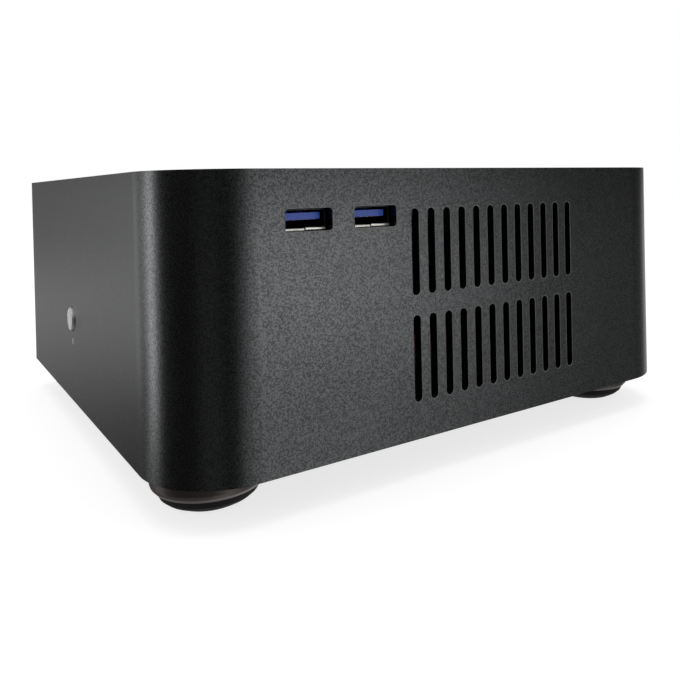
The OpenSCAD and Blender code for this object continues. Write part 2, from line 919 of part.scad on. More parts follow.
module usb_tongues() {
    base_w = usb_w - 2 * usb_t - 0.1;
    base_h = usb_h - 2 * usb_t - 0.1;
    base_y = usb_y + usb_l - tongue_base_l;
    color([0.1, 0.25, 0.75])
        at_usb() {
            facing_front(base_y, tongue_base_l)
                translate([0, usb_z])
                    rounded_rect(base_w, base_h, 0.5);
            translate([-tongue_w / 2, tongue_y, tongue_z])
                cube([tongue_w, base_y - tongue_y + over, tongue_t]);
        }
}

module usb_contacts() {
    strip_t = 0.15;
    color([0.8, 0.65, 0.3])
        at_usb() {
            for (x = [-3.5, -1, 1, 3.5])
                translate([x, tongue_y + 4.4, tongue_z - strip_t])
                    block(1, 6, strip_t);
            for (x = [-4, -2, 0, 2, 4])
                translate([x, tongue_y + 0.9, tongue_z - strip_t])
                    block(0.6, 0.7, strip_t);
        }
}

module usb_screws() {
    color([0.55, 0.55, 0.56])
        for (x = usb_screw_xs)
            translate([x, usb_screw_y, usb_board_z + usb_board_t])
                m3_screw(usb_board_t + bracket_t + 0.8);
}

module usb_cable() {
    plug_h = 12;
    start = [usb_mid, usb_board_y + usb_board_l - 5, usb_board_z + usb_board_t];
    finish = [usb_header_x, header_y, board_top + 1 + plug_h];
    color([0.05, 0.05, 0.05]) {
        translate([start[0], start[1], start[2]])
            block(10, 6, 6);
        translate([finish[0], finish[1], board_top + 1])
            block(21.4, 5.9, plug_h);
        tube([start + [0, 3, 3], start + [0, 8, 3], start + [0, 20, 1], start + [-3, 27, -14],
            finish + [0, 26, 18], finish + [0, 8, 14], finish + [0, 1, 7], finish], 2.2);
    }
}

// ---- power button ----

module power_button() {
    color([0.83, 0.84, 0.85])
        at_button() {
            translate([0, 0, -wall_t - button_proud])
                cylinder(r1 = button_r - 0.3, r2 = button_r, h = 0.3);
            translate([0, 0, -wall_t - button_proud + 0.3])
                cylinder(r = button_r, h = wall_t + button_proud - 0.3);
            cylinder(r = button_flange_r, h = button_flange_t);
            translate([0, 0, button_flange_t])
                cylinder(r = button_stem_r, h = switch_z + 0.9 - button_flange_t);
        }
}

module holder_outline() {
    translate([0, (holder_up - holder_down) / 2])
        rounded_rect(holder_w, holder_up + holder_down, 2);
}

module switch_holder() {
    color([0.1, 0.1, 0.11])
        at_button()
            difference() {
                union() {
                    linear_extrude(holder_depth)
                        holder_outline();
                    linear_extrude(rail_t) {
                        square([2 * ear_x, 2 * m3_head_r + 1.6], center = true);
                        for (x = [-1, 1])
                            translate([x * ear_x, 0])
                                circle(m3_head_r + 0.8);
                    }
                    for (p = peg_points)
                        translate([p[0], p[1], holder_depth - over])
                            cylinder(r = peg_r, h = switch_board_t + over + 0.6);
                }
                translate([0, 0, -over])
                    cylinder(r = button_flange_r + button_gap, h = pocket_depth + over);
                translate([0, 0, -over])
                    cylinder(r = button_stem_r + screw_gap, h = holder_depth + 2 * over);
                translate([0, 0, pocket_depth + guide_t])
                    linear_extrude(holder_depth)
                        rounded_rect(switch_w + 1, switch_w + 1, 0.5);
                translate([0, -led_drop, -over])
                    cylinder(r = led_r + screw_gap, h = holder_depth + 2 * over);
                translate([0, -led_drop, pocket_depth + guide_t])
                    cylinder(r = 2.2, h = holder_depth);
                for (x = [-1, 1])
                    translate([x * ear_x, 0, -over])
                        cylinder(r = m3_hole, h = rail_t + 2 * over);
            }
}

module switch_board() {
    color([0.05, 0.16, 0.09])
        at_button()
            translate([0, 0, holder_depth])
                difference() {
                    linear_extrude(switch_board_t)
                        holder_outline();
                    for (p = peg_points)
                        translate([p[0], p[1], -over])
                            cylinder(r = peg_r + screw_gap, h = switch_board_t + 2 * over);
                }
}

module tact_switch() {
    color([0.2, 0.2, 0.21])
        at_button()
            difference() {
                translate([0, 0, switch_z])
                    block(switch_w, switch_w, switch_h);
                translate([0, 0, switch_z - over])
                    cylinder(r = button_stem_r + screw_gap, h = switch_well + over);
            }
}

module light_pipe() {
    color([0.85, 0.88, 0.9])
        at_button()
            translate([0, -led_drop, -wall_t])
                cylinder(r = led_r, h = wall_t + pocket_depth + guide_t);
}

module power_led() {
    color([0.7, 0.8, 0.95])
        at_button()
            translate([0, -led_drop, 0]) {
                translate([0, 0, switch_z + 1.2])
                    cylinder(r = 1.5, h = switch_h - 1.2);
                translate([0, 0, switch_z + 0.4])
                    cylinder(r1 = 1, r2 = 1.5, h = 0.8);
            }
}

module switch_cable() {
    back = holder_depth + switch_board_t;
    start = [-inner_x + back + 4, button_y, button_z - led_drop / 2];
    finish = [switch_header_x, header_y, board_top + 12];
    color([0.05, 0.05, 0.05]) {
        at_button()
            translate([0, -led_drop / 2, back])
                block(7, 5, 4);
        translate([finish[0], finish[1], 0])
            difference() {
                translate([0, 0, board_top + 2.5])
                    block(14, 6.4, 9.5);
                translate([0, 0, board_top + 2])
                    block(12.8, 5, 7.2);
            }
        tube([start, start + [2, -1, 0], start + [3, -10, -4], start + [2, -30, -5],
            finish + [-14, 34, 5], finish + [-8, 12, 10], finish + [-1, 2, 8], finish], 1.3);
    }
}

// ---- mainboard ----

module mainboard() {
    color([0.03, 0.12, 0.08])
        difference() {
            union() {
                translate([board_x0, board_y0, board_z])
                    cube([board_size, board_size, board_t]);
                translate([board_x1 - 26, board_y0 + 9, board_top - over])
                    block(12, 12, over + 1.2);
                translate([board_x0 + 58, board_y1 - 27, board_top - over])
                    block(8, 8, over + 1);
                translate([board_x0 + 28, board_y1 - 24, board_top - over])
                    block(7, 7, over + 1);
            }
            at_board_holes()
                translate([0, 0, board_z - over])
                    cylinder(r = board_hole_r, h = board_t + 2 * over);
            at_posts()
                translate([0, 0, board_z - over])
                    cylinder(r = m3_hole + 0.3, h = board_t + 2 * over);
        }
}

module shield_windows() {
    for (x = port_xs)
        translate([x, board_top + port_h / 2])
            square([port_w + 2 * socket_gap, port_h + 2 * socket_gap], center = true);
    for (x = video_xs)
        translate([x, board_top + video_h / 2])
            square([video_w + 2 * socket_gap, video_h + 2 * socket_gap], center = true);
    translate([lan_x, board_top + lan_h / 2])
        square([lan_w + 2 * socket_gap, lan_h + 2 * socket_gap], center = true);
    for (x = audio_xs)
        translate([x, audio_z])
            circle(audio_barrel_r + socket_gap);
}

module io_shield() {
    rim = 1.2;
    color([0.7, 0.7, 0.71])
        difference() {
            union() {
                translate([io_x0 - rim, panel_in - shield_t, io_z0 - rim])
                    cube([io_w + 2 * rim, shield_t, io_h + 2 * rim]);
                translate([io_x0 + screw_gap, panel_in - shield_t, io_z0 + screw_gap])
                    cube([io_w - 2 * screw_gap, shield_t + rear_t, io_h - 2 * screw_gap]);
            }
            translate([io_x0 + 1, panel_in - shield_t - over, io_z0 + 1])
                cube([io_w - 2, shield_t + rear_t + over - shield_t, io_h - 2]);
            facing_front(panel_in - 2 * over, rear_t + 3 * over)
                shield_windows();
        }
}

module socket_box(x, w, l, h, z) {
    translate([x - w / 2, socket_face - l, z])
        cube([w, l, h]);
}

module lan_jack() {
    mouth_w = 11.9;
    mouth_h = 8;
    mouth_l = 13;
    mouth_z = board_top + 2.2;
    latch_w = 6;
    latch_h = 1.4;
    color([0.72, 0.72, 0.73])
        difference() {
            socket_box(lan_x, lan_w, lan_l, lan_h, board_top);
            translate([lan_x - mouth_w / 2, socket_face - mouth_l, mouth_z])
                cube([mouth_w, mouth_l + over, mouth_h]);
            translate([lan_x - latch_w / 2, socket_face - mouth_l, mouth_z + mouth_h - over])
                cube([latch_w, mouth_l + over, latch_h + over]);
        }
}

// One stacked pair of flat sockets, each with its tongue
module rear_usb_ports() {
    mouth_w = 12.5;
    mouth_h = 5.1;
    depth = 12;
    shell_t = 1.4;
    pair_pitch = 8;
    tongue_rise = mouth_h - 0.75 - tongue_t;
    color([0.72, 0.72, 0.73])
        for (x = port_xs)
            difference() {
                socket_box(x, port_w, port_l, port_h, board_top);
                for (z = [board_top + shell_t, board_top + shell_t + pair_pitch])
                    difference() {
                        translate([x - mouth_w / 2, socket_face - depth, z])
                            cube([mouth_w, depth + over, mouth_h]);
                        translate([x - tongue_w / 2, socket_face - depth - over, z + tongue_rise])
                            cube([tongue_w, depth, tongue_t]);
                    }
            }
}

// Outline of a flat digital video socket's mouth, its lower corners cut away
module video_mouth() {
    half_w = video_mouth_w / 2;
    half_h = video_mouth_h / 2;
    polygon([[-half_w, half_h], [half_w, half_h], [half_w, video_cut_h - half_h],
             [half_w - video_cut_w, -half_h], [video_cut_w - half_w, -half_h],
             [-half_w, video_cut_h - half_h]]);
}

module video_ports() {
    color([0.72, 0.72, 0.73])
        for (x = video_xs)
            difference() {
                socket_box(x, video_w, video_l, video_h, board_top);
                difference() {
                    facing_front(socket_face - video_mouth_l, video_mouth_l + over)
                        translate([x, board_top + video_h / 2])
                            video_mouth();
                    translate([x - video_tongue_w / 2, socket_face - video_mouth_l - over, video_tongue_z])
                        cube([video_tongue_w, video_mouth_l, 1]);
                }
            }
}

module audio_jacks() {
    color([0.08, 0.08, 0.08])
        for (x = audio_xs)
            difference() {
                union() {
                    translate([x - audio_w / 2, panel_in - shield_t - 0.3 - audio_l, board_top])
                        cube([audio_w, audio_l, audio_h]);
                    facing_front(panel_in - shield_t - over, socket_face - panel_in + shield_t + over)
                        translate([x, audio_z])
                            circle(audio_barrel_r);
                }
                facing_front(socket_face - 14, 14 + over)
                    translate([x, audio_z])
                        circle(audio_bore_r);
            }
}

// ---- processor and cooler ----

module at_cpu(z) {
    translate([cpu_x, cpu_y, z])
        children();
}

module at_posts() {
    for (x = [-1, 1], y = [-1, 1])
        translate([cpu_x + x * post_at, cpu_y + y * post_at, 0])
            children();
}

module at_fan_holes() {
    for (x = [-1, 1], y = [-1, 1])
        translate([cpu_x + x * fan_hole_at, cpu_y + y * fan_hole_at, 0])
            children();
}

module cpu_socket() {
    color([0.16, 0.16, 0.17])
        difference() {
            at_cpu(board_top)
                block(socket_w, socket_w, socket_h);
            at_cpu(cpu_floor)
                block(cpu_w + 0.4, cpu_w + 0.4, socket_h);
        }
}

module processor() {
    color([0.75, 0.76, 0.77]) {
        at_cpu(cpu_floor)
            block(cpu_w, cpu_w, substrate_t);
        at_cpu(cpu_floor + substrate_t)
            block(lid_w, lid_w, lid_t);
    }
}

module heatsink() {
    step = (cooler_w - fin_t) / (fin_count - 1);
    color([0.7, 0.71, 0.72])
        difference() {
            union() {
                at_cpu(base_z)
                    linear_extrude(base_t) {
                        square(cooler_w, center = true);
                        for (x = [-1, 1], y = [-1, 1])
                            translate([x * post_at, y * post_at])
                                circle(ear_r);
                    }
                for (i = [0 : fin_count - 1])
                    at_cpu(base_z + base_t - over)
                        translate([-cooler_w / 2 + i * step, -cooler_w / 2, 0])
                            cube([fin_t, cooler_w, fin_h + over]);
            }
            at_posts()
                translate([0, 0, base_z - over])
                    cylinder(r = m3_hole, h = base_t + 2 * over);
            at_posts()
                translate([0, 0, base_z + base_t])
                    cylinder(r = m3_head_r + 0.4, h = fin_h + over);
            at_fan_holes()
                translate([0, 0, fin_top - 8])
                    cylinder(r = m3_hole, h = 8 + over);
        }
}

module cooler_posts() {
    color([0.6, 0.6, 0.62])
        at_posts()
            difference() {
                translate([0, 0, board_top])
                    cylinder(r = post_r, h = base_z - board_top);
                translate([0, 0, board_top - over])
                    cylinder(r = m3_hole, h = base_z);
            }
}

module cooler_screws() {
    color([0.75, 0.75, 0.76])
        at_posts()
            translate([0, 0, base_z + base_t])
                m3_screw(base_z + base_t - board_z + backplate_t);
}

module cooler_backplate() {
    color([0.2, 0.2, 0.21])
        difference() {
            union()
                at_cpu(board_z - backplate_t) {
                    linear_extrude(backplate_t)
                        for (a = [45, 135])
                            rotate([0, 0, a])
                                square([2 * post_at * sqrt(2), backplate_arm], center = true);
                    for (x = [-1, 1], y = [-1, 1])
                        translate([x * post_at, y * post_at, 0])
                            cylinder(r = ear_r, h = backplate_t);
                    cylinder(r = 20, h = backplate_t);
                }
            at_posts()
                translate([0, 0, board_z - backplate_t - over])
                    cylinder(r = m3_hole, h = backplate_t + 2 * over);
        }
}

module fan_frame() {
    flange = 3.4;
    cup_h = fan_h - 5;
    color([0.06, 0.06, 0.06])
        translate([0, 0, fin_top])
            difference() {
                union() {
                    difference() {
                        at_cpu(0)
                            union() {
                                for (z = [0, fan_h - flange])
                                    translate([0, 0, z])
                                        linear_extrude(flange)
                                            rounded_rect(cooler_w, cooler_w, 4);
                                cylinder(r = cooler_w / 2 - 0.1, h = fan_h);
                            }
                        at_cpu(-over)
                            cylinder(r = fan_bore_r, h = fan_h + 2 * over);
                    }
                    at_cpu(0)
                        for (a = [0 : 90 : 270])
                            rotate([0, 0, a + 20])
                                translate([hub_r / 2, hub_r * 0.4, 0])
                                    cube([fan_bore_r - hub_r / 2 - 1 + 0.6, 3.2, 2.2]);
                    at_cpu(0)
                        cylinder(r = hub_r, h = fan_base_t);
                    at_cpu(0)
                        cylinder(r = shaft_r + 2.5, h = cup_h);
                }
                at_cpu(over)
                    cylinder(r = shaft_r + shaft_gap, h = fan_h);
                at_fan_holes()
                    translate([0, 0, -over])
                        cylinder(r = m3_hole + 0.4, h = fan_h + 2 * over);
            }
}

// A blade is a slice of a thin tube that lies along the radius, so its section is an arc
module fan_blade(z0, z1) {
    rise = z1 - z0;
    reach = 8;
    chord = norm([2 * reach, rise]);
    bend = 16;
    lift = sqrt(bend * bend - chord * chord / 4);
    intersection() {
        translate([hub_r / 2, -reach, z0])
            cube([blade_tip_r, 2 * reach, rise]);
        cylinder(r = blade_tip_r, h = z1 + over);
        translate([hub_r / 2 - over, -lift * rise / chord, (z0 + z1) / 2 + lift * 2 * reach / chord])
            rotate([0, 90, 0])
                difference() {
                    cylinder(r = bend + blade_t / 2, h = blade_tip_r + over);
                    translate([0, 0, -over])
                        cylinder(r = bend - blade_t / 2, h = blade_tip_r + 3 * over);
                }
    }
}

module fan_rotor() {
    cup_z = fan_base_t + 1;
    cup_top = fan_h - 1;
    color([0.09, 0.09, 0.1])
        at_cpu(fin_top) {
            difference() {
                union() {
                    translate([0, 0, cup_z])
                        cylinder(r = hub_r, h = cup_top - cup_z - 0.8);
                    translate([0, 0, cup_top - 0.8])
                        cylinder(r1 = hub_r, r2 = hub_r - 0.8, h = 0.8);
                    for (i = [0 : blade_count - 1])
                        rotate([0, 0, i * 360 / blade_count])
                            fan_blade(cup_z + 0.4, cup_top - 0.6);
                }
                translate([0, 0, cup_z - over])
                    cylinder(r = hub_r - hub_wall, h = cup_top - hub_wall - cup_z + over);
            }
            translate([0, 0, over + 0.2])
                cylinder(r = shaft_r, h = cup_top - hub_wall - over + 0.3);
        }
}

module fan_screws() {
    color([0.2, 0.2, 0.2])
        at_fan_holes()
            translate([0, 0, fin_top + fan_h])
                m3_screw(fan_h + 6);
}

// ---- other parts on the mainboard ----

module memory_place(i) {
    translate([memory_x, memory_y - i * memory_step, board_top])
        children();
}

// A bar that grips the module's edge, with an arm along each side
module memory_sockets() {
    arm = 24;
    color([0.12, 0.12, 0.12])
        for (i = [0, 1])
            memory_place(i)
                difference() {
                    h = memory_heights[i];
                    union() {
                        translate([-memory_w / 2, -8, 0])
                            cube([memory_w, 8, h]);
                        for (x = [-1, 1])
                            translate([x * (memory_w / 2 - 1), -8 - arm / 2 + over / 2, h - 3])
                                block(2, arm + over, 3);
                    }
                    translate([-module_w / 2 - 0.2, -8 - over, h - 2.6])
                        cube([module_w + 0.4, 5 + over, module_t + 0.2]);
                }
}

module memory_modules() {
    color([0.03, 0.2, 0.1])
        for (i = [0, 1])
            memory_place(i) {
                z = memory_heights[i] - 2.5;
                translate([-module_w / 2, -3.2 - module_l, z])
                    cube([module_w, module_l, module_t]);
                for (x = [-25, -9, 9, 25])
                    translate([x, -3.2 - module_l + 11, z + module_t - 0.2])
                        block(11, 10, 1.2);
            }
}

module m2_drive() {
    color([0.03, 0.14, 0.09])
        difference() {
            union() {
                translate([m2_x - m2_w / 2, m2_y1 - m2_l, m2_z])
                    cube([m2_w, m2_l, m2_t]);
                translate([m2_x, m2_y1 - 20, m2_z + m2_t - 0.2])
                    block(14, 14, 1.3);
                for (y = [-38, -58])
                    translate([m2_x, m2_y1 + y, m2_z + m2_t - 0.2])
                        block(18, 14, 1.3);
            }
            m2_stand_place()
                translate([0, 0, m2_z - over])
                    cylinder(r = 1.2, h = m2_t + 2 * over);
        }
}

module chipset_heatsink() {
    color([0.3, 0.31, 0.33])
        translate([chip_x, chip_y, board_top])
            difference() {
                block(chip_w, chip_w, 9);
                for (i = [-3 : 3])
                    translate([i * 4, 0, 3])
                        block(2.2, chip_w + 2 * over, 6 + over);
            }
}

module inductors() {
    color([0.25, 0.25, 0.26])
        for (i = [0 : 3])
            translate([stage_x, cpu_y + 4 + i * 10, board_top])
                linear_extrude(4.6)
                    rounded_rect(7.6, 7.6, 1);
}

module capacitors() {
    color([0.75, 0.75, 0.78])
        for (i = [0 : 4])
            translate([stage_x + 8.8, cpu_y + 2 + i * 8, board_top]) {
                cylinder(r = 3, h = 7.2);
                translate([0, 0, 7.2])
                    cylinder(r1 = 3, r2 = 2.6, h = 0.6);
            }
}

module coin_cell() {
    color([0.8, 0.8, 0.8])
        translate([cell_x, cell_y, board_top + 1.2]) {
            cylinder(r = cell_r - 1.2, h = 0.6);
            translate([0, 0, 0.6])
                cylinder(r = cell_r, h = cell_h - 0.6);
        }
}

// Black moulded parts soldered to the board: sockets, headers and the cell's holder
module board_headers() {
    color([0.07, 0.07, 0.07]) {
        translate([cell_x, cell_y, board_top])
            difference() {
                cylinder(r = cell_r + 1.6, h = cell_h + 0.6);
                translate([0, 0, 1.2])
                    cylinder(r = cell_r + 0.2, h = cell_h);
            }
        translate([m2_x, m2_y1, board_top])
            difference() {
                block(m2_w + 1.6, 6, 4.2);
                translate([0, -3, m2_z - board_top - 0.1])
                    block(m2_w + 0.2, 7, m2_t + 0.2);
            }
        translate([power_x, power_y, board_top])
            block(10, 10, 11);
        translate([sata_x, header_y, board_top])
            block(17, 6, 8);
        translate([usb_header_x, header_y, board_top])
            difference() {
                block(24, 8.5, 9);
                translate([0, 0, 1])
                    block(21.8, 6.3, 9);
            }
        translate([switch_header_x, header_y, board_top])
            block(12.7, 5, 2.5);
        for (i = [0 : 4], y = [-1, 1])
            translate([switch_header_x + (i - 2) * 2.54, header_y + y * 1.27, board_top + 2.5 - over])
                block(0.64, 0.64, 6 + over);
    }
}

// ---- power inlet, storage drive and their leads ----

module dc_jack() {
    body_l = 16;
    color([0.08, 0.08, 0.08]) {
        difference() {
            union() {
                facing_front(panel_out - body_l, body_l)
                    translate([dc_x, dc_z])
                        circle(dc_r);
                facing_front(panel_out, rear_inset)
                    translate([dc_x, dc_z])
                        circle(dc_r + 1.8);
            }
            facing_front(rear_y - 10, 10 + over)
                translate([dc_x, dc_z])
                    circle(3.2);
        }
        facing_front(rear_y - 11, 9.5)
            translate([dc_x, dc_z])
                circle(1.2);
        facing_front(panel_in - 2.5, 2.5)
            translate([dc_x, dc_z])
                difference() {
                    circle(dc_r + 2.4, $fn = 6);
                    circle(dc_r + 0.05);
                }
    }
}

module dc_cable() {
    start = [dc_x, panel_out - 16.25, dc_z];
    finish = [power_x, power_y, board_top + 18];
    color([0.05, 0.05, 0.05]) {
        translate([power_x, power_y, board_top + 11])
            block(9.4, 9.4, 7);
        tube([start, start + [0, -3, 0], start + [2, -12, 1], (start + finish) / 2 + [2, -4, 9],
            finish + [-5, 4, 11], finish + [0, 0, 6], finish], 2);
    }
}

module drive_bracket() {
    x0 = drive_x0 - 3;
    y1 = drive_y1 + 3;
    color([0.62, 0.63, 0.64])
        difference() {
            intersection() {
                translate([x0, inner_front + bracket_inset, bracket_z])
                    cube([inner_x - bracket_inset - x0, y1 - inner_front - bracket_inset, bracket_t]);
                translate([0, 0, bracket_z - over])
                    linear_extrude(bracket_t + 2 * over)
                        case_outline(wall_t + bracket_inset, rear_y);
            }
            translate([(drive_x0 + drive_x1) / 2, (drive_y0 + drive_y1) / 2, bracket_z - over])
                linear_extrude(bracket_t + 2 * over)
                    rounded_rect(drive_l - 40, drive_w - 28, 4);
            for (p = drive_holes)
                translate([p[0], p[1], bracket_z - over])
                    cylinder(r = m3_hole, h = bracket_t + 2 * over);
            for (x = bracket_screw_xs)
                translate([x, rail_line_y, bracket_z - over])
                    cylinder(r = m3_hole, h = bracket_t + 2 * over);
            for (y = drive_rail_ys)
                translate([rail_mid_w, y, bracket_z - over])
                    cylinder(r = m3_hole, h = bracket_t + 2 * over);
        }
}

module storage_drive() {
    color([0.24, 0.25, 0.27])
        difference() {
            translate([(drive_x0 + drive_x1) / 2, (drive_y0 + drive_y1) / 2, bracket_z - drive_h])
                linear_extrude(drive_h)
                    rounded_rect(drive_l, drive_w, 2.5);
            for (p = drive_holes)
                translate([p[0], p[1], bracket_z - 3])
                    cylinder(r = m3_hole, h = 3 + over);
            translate([drive_x0 - over, (drive_y0 + drive_y1) / 2 - 20, bracket_z - drive_h - over])
                cube([5 + over, 40, 3.4 + over]);
        }
}

module drive_screws() {
    color([0.55, 0.55, 0.56])
        for (p = drive_holes)
            translate([p[0], p[1], bracket_z + bracket_t])
                pan_screw(m3_r, bracket_t + 2.6, m3_head_r, 1.1);
}

module sata_cable() {
    plug_h = 7;
    start = [drive_x0 - 8, (drive_y0 + drive_y1) / 2 - 6, bracket_z - drive_h + 1.6];
    finish = [sata_x, header_y, board_top + 8 + plug_h];
    color([0.5, 0.05, 0.05]) {
        translate([start[0], start[1] - 8, start[2] - 1.5])
            cube([13, 16, 3]);
        translate([sata_x, header_y, board_top + 8])
            block(15, 5.2, plug_h);
        tube([start, start + [-3, 0, 0], start + [-9, -2, -3], start + [-10, -6, -14],
            finish + [-3, 16, 16], finish + [0, 4, 12], finish + [0, 0, 6], finish], 1.5);
    }
}

shell();
top_cover();
base_tray();
rear_panel();
side_rails();
front_rail();
cover_screws();
rear_screws();
wall_screws();
bracket_screws();
foot_cups();
foot_pads();
foot_screws();
standoffs();
board_screws();
usb_board();
usb_bracket();
usb_shells();
usb_tongues();
usb_contacts();
usb_screws();
usb_cable();
power_button();
switch_holder();
switch_board();
tact_switch();
light_pipe();
power_led();
switch_cable();
mainboard();
io_shield();
lan_jack();
rear_usb_ports();
video_ports();
audio_jacks();
cpu_socket();
processor();
heatsink();
cooler_posts();
cooler_screws();
cooler_backplate();
fan_frame();
fan_rotor();
fan_screws();
memory_sockets();
memory_modules();
m2_drive();
chipset_heatsink();
inductors();
capacitors();
coin_cell();
board_headers();
dc_jack();
dc_cable();
drive_bracket();
storage_drive();
drive_screws();
sata_cable();
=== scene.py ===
"""The dressed small desktop computer: its finishes, its small parts, the camera, the lamps and the floor.

The scene is in metres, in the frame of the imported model: the origin is on the floor under the middle of
the case, the front faces -Y, and +X is on the right of someone who looks at the front. Sizes that are
written in millimetres say so, and are multiplied by MM where they are used.
"""

import json
import logging
import math
from dataclasses import dataclass
from enum import Enum
from typing import Any, Iterable, Mapping, Optional, Sequence, Union

import bmesh
import bpy
from mathutils import Matrix, Vector
from mathutils.bvhtree import BVHTree


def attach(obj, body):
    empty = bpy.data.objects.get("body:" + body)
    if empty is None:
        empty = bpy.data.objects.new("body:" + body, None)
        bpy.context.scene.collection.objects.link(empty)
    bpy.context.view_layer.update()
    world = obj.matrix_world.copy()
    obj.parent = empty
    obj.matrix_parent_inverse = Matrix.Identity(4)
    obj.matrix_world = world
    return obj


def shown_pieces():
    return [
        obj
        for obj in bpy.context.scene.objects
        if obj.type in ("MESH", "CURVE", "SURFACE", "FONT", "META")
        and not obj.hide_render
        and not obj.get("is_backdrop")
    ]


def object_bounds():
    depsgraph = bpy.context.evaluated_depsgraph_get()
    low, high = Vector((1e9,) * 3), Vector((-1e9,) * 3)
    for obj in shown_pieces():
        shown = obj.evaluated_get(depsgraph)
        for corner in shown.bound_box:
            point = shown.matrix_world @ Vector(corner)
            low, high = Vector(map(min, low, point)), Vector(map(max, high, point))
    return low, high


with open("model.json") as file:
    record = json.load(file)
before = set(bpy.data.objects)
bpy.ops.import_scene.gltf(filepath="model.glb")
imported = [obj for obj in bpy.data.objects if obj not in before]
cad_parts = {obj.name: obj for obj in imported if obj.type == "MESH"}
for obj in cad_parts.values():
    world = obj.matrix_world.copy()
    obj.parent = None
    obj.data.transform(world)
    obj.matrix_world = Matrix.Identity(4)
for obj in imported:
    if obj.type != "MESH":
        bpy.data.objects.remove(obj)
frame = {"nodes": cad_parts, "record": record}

LOG = logging.getLogger("small_computer")
MM = 0.001
Colour = tuple[float, float, float]
Point = tuple[float, float, float]
Pair = tuple[float, float]
Pixel = tuple[float, float]
WHITE: Colour = (1.0, 1.0, 1.0)


# --------------------------------------------------------------------------------------------
# Shader maths
# --------------------------------------------------------------------------------------------


# What a noise of 0 to 1 swings round.
NOISE_MEAN = 0.5


class Value:
    """A number or a vector that changes over a surface: one output socket, with arithmetic."""

    def __init__(self, nodes: "Nodes", socket: bpy.types.NodeSocket) -> None:
        """Wraps an output socket of a node tree."""
        self.nodes = nodes
        self.socket = socket

    def _math(self, operation: str, *terms: "Number", clamp: bool = False) -> "Value":
        """Adds one Math node on some terms, and with clamp holds its result between 0 and 1."""
        settings = {"operation": operation, "use_clamp": clamp}
        return self.nodes.add("ShaderNodeMath", settings, dict(enumerate(terms)))

    def __add__(self, other: "Number") -> "Value":
        """Adds."""
        return self._math("ADD", self, other)

    def __radd__(self, other: "Number") -> "Value":
        """Adds to a plain number."""
        return self._math("ADD", other, self)

    def __sub__(self, other: "Number") -> "Value":
        """Subtracts."""
        return self._math("SUBTRACT", self, other)

    def __rsub__(self, other: "Number") -> "Value":
        """Subtracts from a plain number."""
        return self._math("SUBTRACT", other, self)

    def __mul__(self, other: "Number") -> "Value":
        """Multiplies."""
        return self._math("MULTIPLY", self, other)

    def __rmul__(self, other: "Number") -> "Value":
        """Multiplies a plain number."""
        return self._math("MULTIPLY", other, self)

    def __abs__(self) -> "Value":
        """Drops the sign."""
        return self._math("ABSOLUTE", self)

    def sine(self) -> "Value":
        """Takes the sine."""
        return self._math("SINE", self)

    def bearing(self, other: "Value") -> "Value":
        """Gives the bearing of (this, other) in degrees, from the second axis towards the first."""
        return self._math("ARCTAN2", self, other) * math.degrees(1.0)

    def wave(self, pitch: float) -> "Value":
        """Gives a sine wave along a place, whose pitch is in millimetres."""
        return (self * (2 * math.pi / (pitch * MM))).sine()

    def swing(self, size: float) -> "Value":
        """Turns a noise into a swing of this size about zero."""
        return (self - NOISE_MEAN) * size

    def root(self) -> "Value":
        """Takes the square root."""
        return self._math("SQRT", self)

    def held(self) -> "Value":
        """Holds the number between 0 and 1."""
        return self._math("ADD", self, 0.0, clamp=True)

    def step(self, low: float, high: float) -> "Value":
        """Rises smoothly from 0 to 1.

        Args:
            low: Where the rise starts.
            high: Where it ends.

        Returns:
            The smooth step.
        """
        settings = {"interpolation_type": "SMOOTHSTEP"}
        inputs = {"Value": self, "From Min": low, "From Max": high}
        return self.nodes.add("ShaderNodeMapRange", settings, inputs)


Number = Union[float, int, Value]


class Axis(Enum):
    """The direction that a brush, a die or a lathe left its marks along or around."""

    X = 0
    Y = 1
    Z = 2


class Metric(Enum):
    """How a pattern of cells measures distance, which makes its outlines round or square."""

    ROUND = "EUCLIDEAN"
    SQUARE = "CHEBYCHEV"


